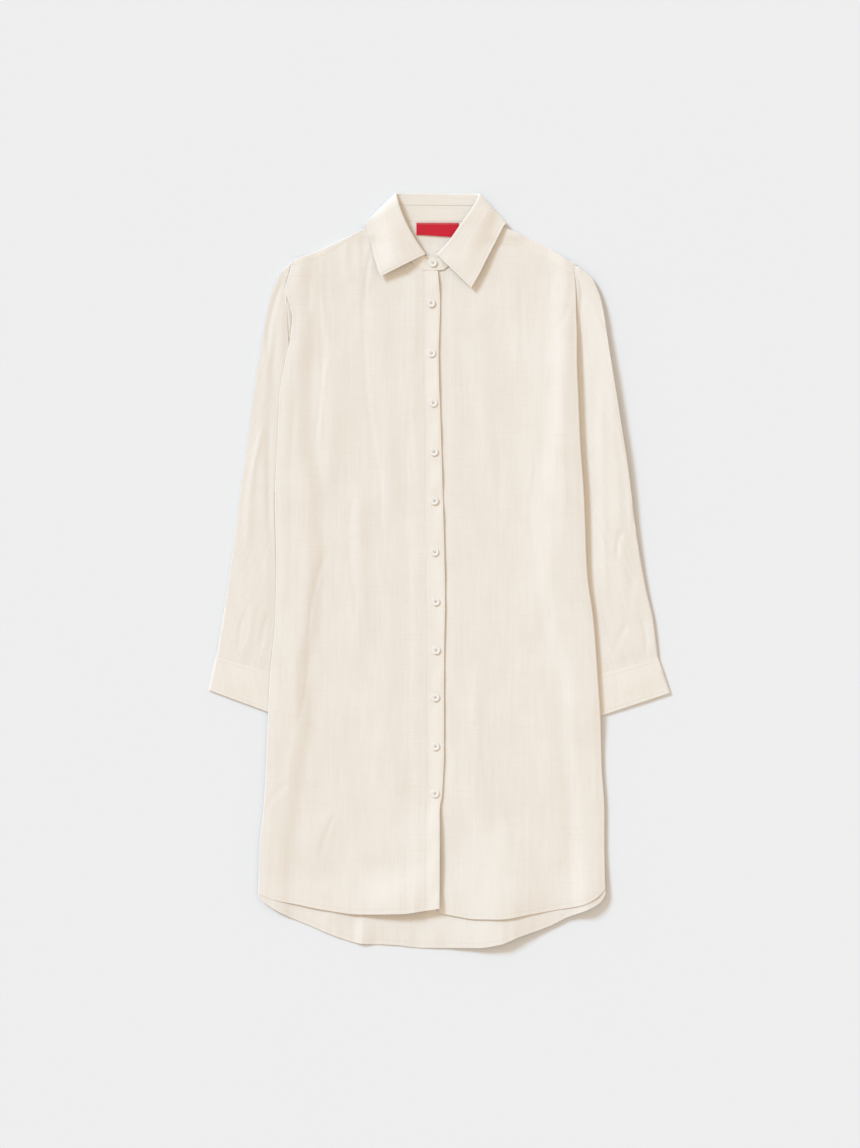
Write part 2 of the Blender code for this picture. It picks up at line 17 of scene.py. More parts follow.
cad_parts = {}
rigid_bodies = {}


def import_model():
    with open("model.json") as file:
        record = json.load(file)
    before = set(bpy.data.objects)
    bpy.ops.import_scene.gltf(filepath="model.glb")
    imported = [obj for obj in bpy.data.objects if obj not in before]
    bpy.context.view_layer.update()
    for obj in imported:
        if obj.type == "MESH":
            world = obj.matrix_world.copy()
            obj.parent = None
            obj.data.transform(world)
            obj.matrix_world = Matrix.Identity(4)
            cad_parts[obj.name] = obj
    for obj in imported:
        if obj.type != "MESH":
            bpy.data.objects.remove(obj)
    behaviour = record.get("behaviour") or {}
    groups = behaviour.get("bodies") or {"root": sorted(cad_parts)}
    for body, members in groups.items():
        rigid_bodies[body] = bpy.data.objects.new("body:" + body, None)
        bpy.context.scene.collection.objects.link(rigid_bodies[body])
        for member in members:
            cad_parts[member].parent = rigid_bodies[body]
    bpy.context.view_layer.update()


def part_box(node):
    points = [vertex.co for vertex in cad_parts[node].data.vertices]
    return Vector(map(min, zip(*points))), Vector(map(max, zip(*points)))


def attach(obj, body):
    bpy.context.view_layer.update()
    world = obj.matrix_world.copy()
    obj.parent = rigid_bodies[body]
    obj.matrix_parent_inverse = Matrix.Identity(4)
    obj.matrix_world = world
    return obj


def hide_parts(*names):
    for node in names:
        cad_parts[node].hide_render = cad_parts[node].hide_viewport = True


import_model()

bl_info = {
    "name": "Long linen shirt",
    "version": (1, 0, 0),
    "blender": (4, 5, 0),
    "location": "View3D > Sidebar > Long shirt",
    "description": "Makes the cloth, the stitching and the buttons of a long shirt laid flat",
    "category": "Object",
}

MM = 0.001
BODY_NAME = "root"

# Height of the lowest ply above the floor, and of one ply above another
FLOOR_PLY = 0.5
PLY = 1.3
# The body's rise over a sleeve and over the collar's back, the way it takes to come down beside a
# sleeve, and how far past the sleeve that starts
OVER_SLEEVE = 2.9
OVER_COLLAR = 1.5
LIFT_RAMP = 26.0
SLEEVE_CLEARANCE = 3.0
# The collar's back under the yoke: its lower edge, its middle and half its width
COLLAR_BACK_Y, COLLAR_MIDDLE, COLLAR_HALF_WIDTH = 455, -6, 132
# The upper wall of a sleeve above its lower one where it lies pressed flat
SLEEVE_PLIES = 1.6
# The collar's fold, and how far below it the seam lies, as a share of the way to the neck
ROLL_RADIUS = 1.3
COLLAR_SEAM_SHARE = 0.42

# The photograph: its size in pixels, the pixel at the frame's origin and what a pixel measures
PHOTO_WIDTH, PHOTO_HEIGHT = 860, 1148
MIDDLE_PIXEL = (439.3, 570.5)
PIXEL = 1.4
# The camera's sensor, and the way to the key light
SENSOR = 36.0
KEY_FROM = Vector((-0.62, 0.61, 0.50))
# The floor in metres: its side, and how far it lies below the shirt
FLOOR_SIZE, FLOOR_BELOW = 12, 0.0004

# The linen: its threads in a metre, the noise from which a slub starts, and its shade where it is
# thin and where it is close
THREADS = 1500.0
SLUB_FROM = 0.56
THIN_PLACES = ((0.945, 0.93, 0.912), (1.0, 1.0, 1.0))


class ShirtCloth(bpy.types.PropertyGroup):
    wall: FloatProperty(name="Cloth", description="Thickness of one ply of linen",
                        default=0.0005, unit="LENGTH")
    doubled: FloatProperty(name="Doubled cloth", description="Thickness of the collar, cuffs and bands",
                           default=0.0010, unit="LENGTH")
    folds: FloatProperty(name="Folds", description="Height of the folds, as a share of that in the tables",
                         default=0.6, min=0.0, max=2.0, subtype="FACTOR")
    crinkle: FloatProperty(name="Crinkle", description="Depth of the fine upright crinkle of the linen",
                           default=0.00011, unit="LENGTH")
    stitch: FloatProperty(name="Stitch", description="Length of one stitch",
                          default=0.0024, unit="LENGTH")
    step: FloatProperty(name="Mesh step", description="Distance between the points across the cloth",
                        default=0.0022, unit="LENGTH")


class ShirtColours(bpy.types.PropertyGroup):
    linen: FloatVectorProperty(name="Linen", description="Colour of the cream linen",
                               default=(0.827, 0.769, 0.694), size=3, min=0, max=1, subtype="COLOR")
    slub: FloatVectorProperty(name="Slub", description="Colour of the thicker, darker threads",
                              default=(0.765, 0.685, 0.59), size=3, min=0, max=1, subtype="COLOR")
    thread: FloatVectorProperty(name="Thread", description="Colour of the sewing thread",
                                default=(0.87, 0.79, 0.70), size=3, min=0, max=1, subtype="COLOR")
    label: FloatVectorProperty(name="Label", description="Colour of the blank neck label",
                               default=(0.58, 0.012, 0.03), size=3, min=0, max=1, subtype="COLOR")
    button: FloatVectorProperty(name="Button", description="Colour of the buttons",
                                default=(0.88, 0.84, 0.78), size=3, min=0, max=1, subtype="COLOR")


class ShirtStage(bpy.types.PropertyGroup):
    floor: FloatVectorProperty(name="Floor", description="Colour of the pale floor",
                               default=(0.80, 0.80, 0.80), size=3, min=0, max=1, subtype="COLOR")
    key: FloatVectorProperty(name="Key light", description="Colour and strength of the upper left light",
                             default=(1.70, 2.32, 3.03), size=3, min=0)
    fill: FloatVectorProperty(name="Fill", description="Colour and strength of the light from all round",
                              default=(0.808, 0.710, 0.597), size=3, min=0)
    softness: FloatProperty(name="Softness", description="Angle that the key light spreads over",
                            default=math.radians(15), subtype="ANGLE")
    lens: FloatProperty(name="Lens", description="Focal length in millimetres", default=100.0)


def table(columns, *rows):
    """A table with named columns, each an array, and one column with the numbers of its rows."""
    values = np.array(rows, float)
    named = {name: values[:, i] for i, name in enumerate(columns.split())}
    return {"row": np.arange(len(rows), dtype=float), **named}


def smooth(t):
    """From 0 to 1 as t goes from 0 to 1, with no corner at either end."""
    t = np.clip(t, 0.0, 1.0)
    return t * t * (3 - 2 * t)


def bell(x, middle, width):
    """1 at the middle, and down to nothing on both sides over about twice the width."""
    return np.exp(-(((x - middle) / width) ** 2))


def quarter_round(t):
    """From 0 to 1 as t goes from 0 to 1, along a quarter of a circle."""
    return np.sqrt(1 - (1 - np.clip(t, 0, 1)) ** 2)


def along(rows, key, column, at):
    """The column's value where the key column has the value at, read from a smooth curve."""
    order = np.argsort(rows[key])
    x, y = rows[key][order], rows[column][order]
    slope = np.diff(y) / np.diff(x)
    tangent = np.empty_like(y)
    tangent[0], tangent[-1] = slope[0], slope[-1]
    same_way = slope[:-1] * slope[1:] > 0
    with np.errstate(divide="ignore", invalid="ignore"):
        mean = 2 * slope[:-1] * slope[1:] / (slope[:-1] + slope[1:])
    tangent[1:-1] = np.where(same_way, mean, 0.0)
    at = np.clip(at, x[0], x[-1])
    i = np.clip(np.searchsorted(x, at, side="right") - 1, 0, len(x) - 2)
    step = x[i + 1] - x[i]
    t = (at - x[i]) / step
    return (
        (2 * t**3 - 3 * t**2 + 1) * y[i]
        + (t**3 - 2 * t**2 + t) * step * tangent[i]
        + (3 * t**2 - 2 * t**3) * y[i + 1]
        + (t**3 - t**2) * step * tangent[i + 1]
    )


# The body: its two side edges, and how far in the sleeves reach under it
BODY = table(
    "y left right left_under right_under",
    (440, -204, 185, -199, 180),
    (412, -211, 189, -203, 182),
    (395, -215, 191, -205, 182),
    (355, -206, 192, -199, 182),
    (328, -208, 193, -199, 182),
    (296, -215, 193, -202, 182),
    (243, -224, 195, -204, 179),
    (190, -226, 197, -203, 174),
    (100, -230, 203, -189, 162),
    (0, -228, 207, -188, 162),
    (-70, -230, 216, -192, 170),
    (-149, -237, 222, -208, 192),
    (-215, -240, 226, -205, 196),
    (-270, -242, 227, -214, 200),
    (-336, -246, 231, -222, 208),
    (-382, -251, 231, -228, 210),
    (-480, -254, 233, -232, 212),
)
# The upper front's free edge, and the seam of its band
OVERLAP = table(
    "y edge seam",
    (420, -2, -22),
    (375, 1, -22),
    (300, -1, -22),
    (200, 2, -21),
    (100, 5, -20.5),
    (25, 7, -20),
    (-45, 8, -19),
    (-98, 7, -18.5),
    (-175, 6.5, -18),
    (-248, 6.5, -18.5),
    (-312, 4, -19),
    (-335, 0.5, -19.5),
    (-426, 0.5, -20.5),
    (-480, 0, -20.5),
)
# Seams, hems and other edges as they show from above, from left to right
YOKE_SEAM_LEFT = table("x y", (-204, 428), (-170, 438), (-129, 462), (-102, 477), (-79, 485))
NECKLINE_LEFT = table("x y", (-79, 485), (-74, 475), (-65, 460), (-56, 445), (-41, 430), (-22, 419))
YOKE_SEAM_RIGHT = table("x y", (70, 483), (97, 467), (116, 455), (151, 434), (184, 416))
NECKLINE_RIGHT = table("x y", (5, 418), (22, 429), (38, 443), (50, 458), (62, 473), (70, 483))
FRONT_HEM_LEFT = table(
    "x y", (-255, -452), (-248, -454), (-234, -460), (-200, -467), (-161, -475), (-112, -481),
    (-53, -480), (-23, -476), (0, -472.5),
)
FRONT_HEM_RIGHT = table(
    "x y", (0, -479), (22, -483.5), (51, -487.5), (83, -487.5), (126, -481), (161, -475),
    (199, -468), (216, -460), (230, -447.5), (234, -439),
)
BACK_HEM = table(
    "x y", (-255, -454), (-249, -461), (-220, -480), (-181, -497), (-142, -513), (-110, -522),
    (-64, -524), (-22, -528), (52, -528), (85, -523), (110, -513), (155, -497), (179, -485),
    (208, -474), (226, -463), (233, -451),
)
SHOULDER_LEFT = table(
    "x y", (-204, 434.5), (-177, 444.5), (-140, 461.5), (-114, 474), (-102, 480), (-83, 492)
)
SHOULDER_RIGHT = table(
    "x y", (74, 493), (90, 481), (102, 475.5), (116, 469.5), (151, 452), (183, 432)
)
BACK_NECK = table("x y", (-83, 492), (-66, 490), (-51, 489), (32, 488.5), (57, 490), (74, 493))
YOKE_BACK_SEAM = 399.0
NECK_LEFT, NECK_RIGHT = -83, 74
SHOULDER_INSET, SHOULDER_BULGE = 1.1, 0.7
# The sleeves and the cuffs as flat tubes: their outer and inner folds, from the body down
SLEEVE_LEFT = table(
    "along outer_x outer_y inner_x inner_y",
    (0.00, -202, 433, -205, 196),
    (0.05, -215, 424, -202, 180),
    (0.10, -226, 409, -199, 163),
    (0.18, -237, 378, -195, 130),
    (0.30, -249, 315, -191, 85),
    (0.42, -258, 256, -191, 48),
    (0.55, -267, 190, -192, 8),
    (0.68, -279, 105, -194, -35),
    (0.80, -289, 25, -199, -75),
    (0.90, -300, -50, -206, -112),
    (1.00, -311, -117, -215, -147),
)
SLEEVE_RIGHT = table(
    "along outer_x outer_y inner_x inner_y",
    (0.00, 184, 430, 177, 196),
    (0.05, 200, 421, 174, 180),
    (0.10, 213, 409, 171, 163),
    (0.18, 226, 378, 166, 130),
    (0.30, 239, 300, 163, 85),
    (0.42, 252, 220, 163, 48),
    (0.55, 264, 143, 165, 8),
    (0.68, 276, 50, 170, -35),
    (0.80, 289, -25, 178, -75),
    (0.90, 299.2, -70, 188, -112),
    (1.00, 305.3, -120, 200, -150),
)
CUFF_LEFT = table(
    "along outer_x outer_y inner_x inner_y", (0, -312.5, -120, -215.5, -149), (1, -323, -167, -212, -208)
)
CUFF_RIGHT = table(
    "along outer_x outer_y inner_x inner_y", (0, 306, -122, 201, -152.5), (1, 323, -171, 211, -208)
)
# Each tube's number of rings, its points under the body and in the open, and how it puffs up at
# its first and its last ring
TUBES = {
    "sleeve_left": {"rows": SLEEVE_LEFT, "right": False, "cuff": False, "rings": 150,
                    "points": (16, 34), "puffs": (3.2, 1.9), "seed": 51},
    "sleeve_right": {"rows": SLEEVE_RIGHT, "right": True, "cuff": False, "rings": 150,
                     "points": (16, 40), "puffs": (7.5, 2.1), "seed": 57},
    "cuff_left": {"rows": CUFF_LEFT, "right": False, "cuff": True, "rings": 16,
                  "points": (14, 30), "puffs": (1.35, 0.5), "seed": 61},
    "cuff_right": {"rows": CUFF_RIGHT, "right": True, "cuff": True, "rings": 16,
                   "points": (14, 30), "puffs": (1.1, 0.3), "seed": 67},
}
INTO_CUFF = 5.0
# The collar from its left front round the back to its right front: its roll, its neck seam, the
# edge of its leaf, and the roll's turn from 0 with the leaf on top to 180 with the leaf below
COLLAR = table(
    "roll_x roll_y roll_z neck_x neck_y neck_z edge_x edge_y edge_z turn",
    (-20, 442, 7.0, -22, 420, 3.3, -82, 411, 5.6, 0),
    (-30, 456, 8.5, -38, 430, 3.5, -86, 421, 6.2, 0),
    (-40, 472, 10.0, -55, 446, 3.9, -91, 438, 6.8, 0),
    (-50, 492, 11.0, -67, 464, 4.3, -96, 459, 7.2, 0),
    (-57, 511, 11.0, -77, 481, 4.6, -101, 477, 7.4, 0),
    (-59.5, 521, 9.5, -80.5, 489, 4.8, -103, 482, 6.6, 35),
    (-60.5, 526, 7.0, -82.5, 494.5, 3.2, -105, 484.5, 4.0, 90),
    (-58, 527, 4.6, -79.5, 493, 2.1, -101, 482, 1.2, 145),
    (-50, 527, 3.0, -68, 490, 1.9, -88, 480, 0.5, 180),
    (-25, 527, 2.6, -34, 489, 1.9, -44, 480, 0.5, 180),
    (0, 526.5, 2.6, -3, 489, 1.9, -4, 480, 0.5, 180),
    (25, 526, 2.6, 26, 489, 1.9, 36, 480, 0.5, 180),
    (45, 526, 3.0, 58, 490, 1.9, 76, 480, 0.5, 180),
    (53, 526, 4.6, 70.5, 494.5, 2.1, 89, 483, 1.2, 145),
    (56, 525, 7.0, 73.5, 496, 3.2, 93.5, 486, 4.0, 90),
    (54.5, 520, 9.5, 71, 490, 4.8, 91, 483, 6.6, 35),
    (51, 513, 11.0, 68, 481, 4.6, 88, 478, 7.4, 0),
    (42, 499, 11.0, 58, 468, 4.3, 79, 460, 7.2, 0),
    (29, 481, 10.0, 42, 451, 3.9, 68, 439, 6.8, 0),
    (12, 457, 8.5, 24, 434, 3.5, 55, 413, 6.4, 0),
    (-3, 441, 7.0, 5, 420, 3.0, 44.5, 395, 5.8, 0),
)
# A place inside the neck, the last row of the collar and the places where it is cut across
COLLAR_OPENING = np.array([-2.0, 440.0])
COLLAR_END = len(COLLAR["row"]) - 1
COLLAR_PLACES = np.linspace(0, COLLAR_END, 181)
# The points across the collar: from its seam to the roll, round the roll, and to the leaf's edge
SEAM_STEPS, ROLL_STEPS, LEAF_STEPS = 7, 9, 26
# The rows of the collar along which its two leaves show
LEAVES = ((0, 4.4), (15.6, COLLAR_END))
# The stand's ends past the collar: its upper one from row 0 to 3, its lower one from row 4 to 6
STAND_ENDS = table(
    "top_x top_y bottom_x bottom_y z",
    (4.2, 430.5, 4.6, 426.5, 3.3),
    (0, 435, 3, 420.3, 3.4),
    (-9, 439, -9, 419.5, 3.4),
    (-17, 441, -17, 419.5, 3.5),
    (-3, 437, -1, 420, 1.85),
    (-14, 437, -14, 419.5, 1.85),
    (-24, 436, -24, 419.5, 1.85),
)
# The buttons on the band and on the stand, and the turn of their holes in degrees
BUTTONS = table(
    "x y turn",
    (-11.5, 374, 10), (-11, 304, 48), (-8.5, 234.5, 80), (-7.5, 166, 25), (-7, 97.5, 65),
    (-6.5, 26, 5), (-5, -43.5, 35), (-4.5, -111.5, 75), (-5.5, -177.5, 15), (-5.5, -246, 55),
    (-6, -312, 30),
)
STAND_BUTTON = (-9.0, 430.5, 20)
LABEL = {"left": -32.0, "right": 27.0, "top": 486.5, "bottom": 466.5, "thickness": 0.6}
# A button: its size, its rim, the dish inside it, its holes and the thread through them
BUTTON_RADIUS, BUTTON_THICKNESS = 5.6, 1.5
RIM_WIDTH, DISH_SLOPE, DISH_DEPTH, RIM_ROUNDING = 1.1, 0.5, 0.14, 0.28
HOLE_RADIUS, HOLE_OUT = 0.75, 1.35
THREAD_RADIUS, THREAD_LENGTH, THREAD_HEIGHT = 0.2, 2.1, 1.3
# The stitches round a buttonhole, from its middle
BUTTONHOLE = {"half_length": 7.0, "side": 0.75, "half_end": 1.4}
# A stitch along its length: the share of the way, the thread's thickness there and its rise
STITCH_PROFILE = ((0, 0.35, -0.3), (0.2, 1.0, 0.7), (0.5, 1.0, 1.0), (0.8, 1.0, 0.7), (1, 0.35, -0.3))
STITCH_SIDES = 4
STITCH_WIDTH, STITCH_RISE = 0.19, 0.14
EDGE_TO_STITCH = 5.0

# Folds of the top layer in millimetres: a ridge, or a trough where the height is negative
FOLDS = table(
    "x0 y0 x1 y1 width height bend",
    (-190, 432, -186, 380, 9, 1.3, 2),
    (-181, 434, -176, 350, 10, 1.6, -2),
    (-168, 438, -160, 330, 11, 1.6, 3),
    (-131, 459, -126, 400, 10, 1.3, 2),
    (-116, 466, -112, 380, 11, 1.5, -2),
    (-97, 474, -92, 400, 9, 1.2, 2),
    (-145, 300, -152, 120, 24, 2.2, 5),
    (-90, 360, -70, 60, 22, 1.8, -8),
    (-40, 370, -44, 190, 20, 1.2, 2),
    (-180, 40, -200, -220, 26, 1.8, 6),
    (-112, 110, -118, -150, 22, 1.8, -5),
    (-150, -340, -175, -420, 26, 1.5, 4),
    (-70, -120, -60, -400, 24, 1.4, 6),
    (60, 380, 72, 120, 22, 1.6, 4),
    (104, 400, 110, 260, 24, 1.4, -4),
    (172, 375, 176, 20, 20, 2.2, 3),
    (132, 150, 138, -90, 24, 1.6, -5),
    (56, -150, 60, -380, 22, 1.6, 5),
    (150, -200, 160, -430, 26, 1.5, -5),
)
# The narrower creases of the top layer, and those of the sleeves
CREASES = table(
    "x0 y0 x1 y1 width height bend",
    (-168, 432, -164, 350, 4, -0.8, 3),
    (-165, 350, -172, 190, 5, -0.9, -5),
    (-157, 290, -165, 175, 4, 0.7, 4),
    (-94, 452, -105, 350, 5, -0.9, 4),
    (-105, 350, -86, 150, 5, -0.8, 6),
    (-86, 150, -82, 55, 4, -0.6, -3),
    (-121, 100, -124, -2, 5, -0.8, 3),
    (-124, -2, -119, -70, 4, -0.7, -4),
    (-161, 20, -183, -110, 5, -0.8, 6),
    (-183, -110, -202, -225, 5, -0.7, -5),
    (-148, -345, -166, -404, 5, -0.9, 3),
    (-244, -337, -210, -296, 5, -0.8, -4),
    (19, -243, 34, -246, 3, -0.5, 1),
    (48, -216, 60, -219, 3, -0.5, -1),
    (20, -330, 44, -325, 3, -0.4, 2),
    (116, 400, 120, 279, 6, -0.7, 3),
    (79, 198, 84, 90, 6, -0.5, -4),
    (135, 145, 133, 30, 6, -0.6, 5),
    (60, -157, 66, -300, 6, -0.5, 3),
    (-210, 380, -188, 340, 5, -0.8, 4),
    (-200, 250, -206, 60, 6, -0.6, 4),
    (186, 400, 160, 330, 6, -0.7, -6),
)
SLEEVE_CREASES = table(
    "x0 y0 x1 y1 width height bend",
    (-228, 330, -238, 60, 8, -1.2, 4),
    (-240, -60, -250, -112, 5, -0.5, 1),
    (-262, -50, -268, -112, 6, 0.45, -1),
    (-276, -68, -282, -118, 4, -0.45, 1),
    (-250, 190, -268, 40, 7, 0.9, 5),
    (-222, 400, -240, 300, 5, -0.8, 5),
    (226, 235, 234, -45, 8, 1.6, 3),
    (216, 395, 238, 330, 4, -0.9, 4),
    (254, 55, 249, 15, 5, -1.1, 2),
    (249, 15, 274, -25, 6, -0.8, -4),
    (262, -75, 242, -125, 7, -0.7, 2),
    (284, -70, 290, -120, 4, -0.8, -2),
    (250, 200, 268, 60, 6, 0.9, -5),
)

# How far the top layer stands up all over and beside its right edge, how far above the under
# layer its edge lies, the width over which that edge rounds down, and about its deepest trough
PUFF = 0.7
RIGHT_ROLL = 6.4
EDGE_GAP = 0.55
EDGE_ROUNDING = 1.4
DEEPEST_TROUGH = -0.9
# How far the cloth stands off at the right end of the hem, right of its middle and at the overlap
CORNER_LIFT = 5.0
HEM_LIFT = 8.5
OVERLAP_LIFT = 3.6
# How far the left and the right leaf of the collar stand off the fronts
LEAF_LIFT = (3.1, 2.7)
# The front hem as one bend: its place in the middle and how much it falls away at the sides
FRONT_HEM_Y, FRONT_HEM_BEND = -472, 0.00028
# The middle of the band, and the way from button to button
BAND_MIDDLE = -8
BUTTON_STEP = 68.5


def left_at(y):
    """The body's left edge."""
    return along(BODY, "y", "left", y)


def right_at(y):
    """The body's right edge."""
    return along(BODY, "y", "right", y)


def lower(x, y):
    """Height of the under layer's middle, which rises over the sleeves and the collar's back."""
    left_reach = along(BODY, "y", "left_under", y)
    right_reach = along(BODY, "y", "right_under", y)
    sleeve = np.maximum(
        smooth((left_reach + SLEEVE_CLEARANCE + LIFT_RAMP - x) / LIFT_RAMP),
        smooth((x - right_reach + SLEEVE_CLEARANCE + LIFT_RAMP) / LIFT_RAMP),
    )
    collar = smooth((y - COLLAR_BACK_Y) / 16)
    collar = collar * smooth((COLLAR_HALF_WIDTH - abs(x - COLLAR_MIDDLE)) / 18)
    return FLOOR_PLY + np.maximum(OVER_SLEEVE * sleeve, OVER_COLLAR * collar) + corner_lift(x, y)


def corner_lift(x, y):
    """Both layers stand off the floor at the right end of the hem and right of its middle."""
    corner = CORNER_LIFT * smooth((-380 - y) / 90) * bell(x, 205, 38)
    return corner + HEM_LIFT * (bell(x, 92, 50) * smooth((-330 - y) / 150))


def raised(rows, x, y):
    """The sum of the table's ridges and troughs, each soft at its ends and slightly bent."""
    total = np.zeros_like(x)
    for i in range(len(rows["x0"])):
        row = {name: column[i] for name, column in rows.items()}
        dx, dy = row["x1"] - row["x0"], row["y1"] - row["y0"]
        length = math.hypot(dx, dy)
        t = ((x - row["x0"]) * dx + (y - row["y0"]) * dy) / length**2
        away = ((x - row["x0"]) * dy - (y - row["y0"]) * dx) / length
        away = away - row["bend"] * np.sin(np.clip(t, 0, 1) * math.pi)
        ends = smooth(t / 0.25 + 0.5) * smooth((1.15 - t) / 0.4)
        width = row["width"] * (1 + 0.25 * np.sin(t * 5 + i))
        total += row["height"] * ends * np.exp(-2 * (away / width) ** 2)
    return total


def drift(x, y, size_x, size_y, seed):
    """Smooth uneven values from -1 to 1, with the given size of a patch."""
    lattice = np.random.default_rng(seed).uniform(-1, 1, (257, 257))
    u, v = x / size_x + 128.0, y / size_y + 128.0
    i, j = np.floor(u).astype(int) % 256, np.floor(v).astype(int) % 256
    a, b = smooth(u - np.floor(u)), smooth(v - np.floor(v))
    return (
        lattice[i, j] * (1 - a) * (1 - b) + lattice[i + 1, j] * a * (1 - b)
        + lattice[i, j + 1] * (1 - a) * b + lattice[i + 1, j + 1] * a * b
    )


def crinkle(x, y, seed):
    """The linen's fine upright crinkle, in millimetres."""
    depth = bpy.context.scene.shirt_cloth.crinkle / MM
    lean = x + 3.0 * drift(x, y, 60, 90, seed + 7)
    strong = 0.6 + 0.4 * drift(x, y, 70, 120, seed + 8)
    return depth * strong * (
        drift(lean, y, 7, 70, seed) + 0.6 * drift(lean, y, 3.6, 42, seed + 1)
        + 0.5 * drift(lean, y, 26, 17, seed + 2) + 1.6 * drift(lean, y, 22, 90, seed + 3)
    )


def relief(x, y, seed):
    """The folds, the creases and the crinkle, with no trough much deeper than the deepest."""
    strength = bpy.context.scene.shirt_cloth.folds
    shape = strength * (raised(FOLDS, x, y) + raised(CREASES, x, y)) + crinkle(x, y, seed)
    return np.maximum(shape, DEEPEST_TROUGH + 0.25 * np.tanh(shape - DEEPEST_TROUGH))


def upper(x, y, seed=11):
    """Height of the top layer's middle. Its sides round down to meet the under layer."""
    from_right = right_at(y) - x
    inside = np.minimum(x - left_at(y), from_right)
    beside_band = smooth((abs(x - BAND_MIDDLE) - 15) / 14)
    reach = EDGE_ROUNDING + 9 * smooth((y - 409) / 7) * (x > 0)
    roll = RIGHT_ROLL * (0.6 + 0.4 * smooth((y + 100) / 250)) * bell(from_right, 0, 70)
    roll = roll * smooth((y + 265) / 90) * smooth((416 - y) / 150)
    stands = (PLY - EDGE_GAP + roll + hem_lift(x, y)) * quarter_round(inside / reach)
    full = smooth(inside / 12) * beside_band
    return lower(x, y) + EDGE_GAP + stands + full * (PUFF + relief(x, y, seed))


def hem_lift(x, y):
    """How far the front's hem stands off the back."""
    above = y - FRONT_HEM_Y + FRONT_HEM_BEND * x**2
    uneven = 0.9 * drift(x, y, 34, 80, 47) * (abs(x - BAND_MIDDLE) > 30)
    return smooth((64 - above) / 60) * (0.8 + 6.8 * bell(x, -62, 45) + uneven)


def lattice_faces(rows, columns, around=False, keep=None):
    """The faces between the points of a lattice, or those of them that are kept."""
    faces = []
    for i in range(rows - 1):
        for j in range(columns if around else columns - 1):
            k = (j + 1) % columns
            if keep is None or keep(i, j):
                below, above = i * columns, (i + 1) * columns
                faces.append((below + j, below + k, above + k, above + j))
    return faces


def cloth(name, points, uvs, material, thickness, around=False, keep=None):
    """A thin shell from a lattice of middle points in millimetres, shape (rows, columns, 3)."""
    rows, columns = points.shape[:2]
    faces = lattice_faces(rows, columns, around, keep)
    obj = mesh_object(name, (points.reshape(-1, 3) * MM).tolist(), faces, material)
    mesh = obj.data
    layer = mesh.uv_layers.new(name="Cloth")
    corners = np.empty(len(mesh.loops), np.int32)
    mesh.loops.foreach_get("vertex_index", corners)
    flat_uv = uvs.reshape(-1, 2) * MM
    layer.data.foreach_set("uv", flat_uv[corners].astype(np.float32).ravel())
    wall = obj.modifiers.new("Wall", "SOLIDIFY")
    wall.thickness = thickness
    wall.offset = 0.0
    select_only(obj)
    bpy.ops.object.modifier_apply(modifier=wall.name)
    tidy_mesh(obj)
    return obj


def mesh_object(name, points, faces, material):
    """A new object of points in metres and faces between them."""
    mesh = bpy.data.meshes.new(name)
    mesh.from_pydata(points, [], faces)
    mesh.update()
    mesh.materials.append(material)
    return placed(name, mesh)


def placed(name, data):
    """A new object at the origin, with a mesh or other data."""
    obj = bpy.data.objects.new(name, data)
    bpy.context.scene.collection.objects.link(obj)
    return obj


def tidy_mesh(obj):
    """Loose points go, the faces point outwards and smooth shading stops at sharp edges."""
    select_only(obj)
    bpy.ops.object.mode_set(mode="EDIT")
    bpy.ops.mesh.select_all(action="SELECT")
    bpy.ops.mesh.delete_loose(use_verts=True, use_edges=True, use_faces=False)
    bpy.ops.mesh.select_all(action="SELECT")
    bpy.ops.mesh.normals_make_consistent(inside=False)
    bpy.ops.object.mode_set(mode="OBJECT")
    bpy.ops.object.shade_smooth_by_angle(angle=math.radians(55))


def select_only(obj):
    """The object alone is selected and active."""
    bpy.ops.object.select_all(action="DESELECT")
    obj.select_set(True)
    bpy.context.view_layer.objects.active = obj


def panel(left, right, bottom, top, step_x, step_y, height, rounded=()):
    """Points that fill a panel between its side edges, its hem and its top, and their UVs.

    At a rounded side the points stand closer together.
    """
    across = int(abs(right(0.0) - left(0.0)) / step_x) + 2
    shares = np.linspace(0, 1, across)
    close = np.array([0.12, 0.27, 0.45, 0.68]) * shares[1]
    if "left" in rounded:
        shares = np.concatenate([[0.0], close, shares[1:]])
    if "right" in rounded:
        shares = np.concatenate([shares[:-1], 1 - close[::-1], [1.0]])
    middle = left(0.0) * 0.5 + right(0.0) * 0.5
    up = int(abs(top(middle) - bottom(0.0)) / step_y) + 2
    u, v = np.meshgrid(shares, np.linspace(0, 1, up))
    x = left(0.0) + u * (right(0.0) - left(0.0))
    # The side edges depend on y and the hem on x, so a few rounds bring the two together
    for _ in range(10):
        low, high = bottom(x), top(x)
        y = low + v * (high - low)
        x = left(y) + u * (right(y) - left(y))
    return np.dstack([x, y, height(x, y)]), np.dstack([x, y])


def curve_of(rows):
    """An edge that follows the table's points."""
    return lambda x: along(rows, "x", "y", np.asarray(x, float))


def tucked(rows):
    """The neckline a little further up, below the stand."""
    return dict(rows, y=rows["y"] + 1.6 * (rows["y"] < 482))


def level(y):
    """A straight edge across."""
    return lambda x: y + 0 * x


def two_curves(first, second, at):
    """An edge that follows the first table's points up to a place, and then the second's."""
    return lambda x: np.where(np.asarray(x) < at, curve_of(first)(x), curve_of(second)(x))


def overlap_line(column, offset=0.0):
    """The overlap's edge or its seam, moved to the right by the offset."""
    return lambda y: along(OVERLAP, "y", column, y) + offset


def overlap_lift(x, y):
    """How far the upper front stands off below the last button."""
    from_edge = x - along(OVERLAP, "y", "edge", y)
    return OVERLAP_LIFT * smooth((-318 - y) / 60) * smooth((from_edge + 78) / 76)


def front_over_height(x, y):
    """The upper front, which climbs onto the band at its seam."""
    from_seam = x - along(OVERLAP, "y", "seam", y)
    return upper(x, y, 11) + PLY * smooth((from_seam + 26) / 22) + overlap_lift(x, y)


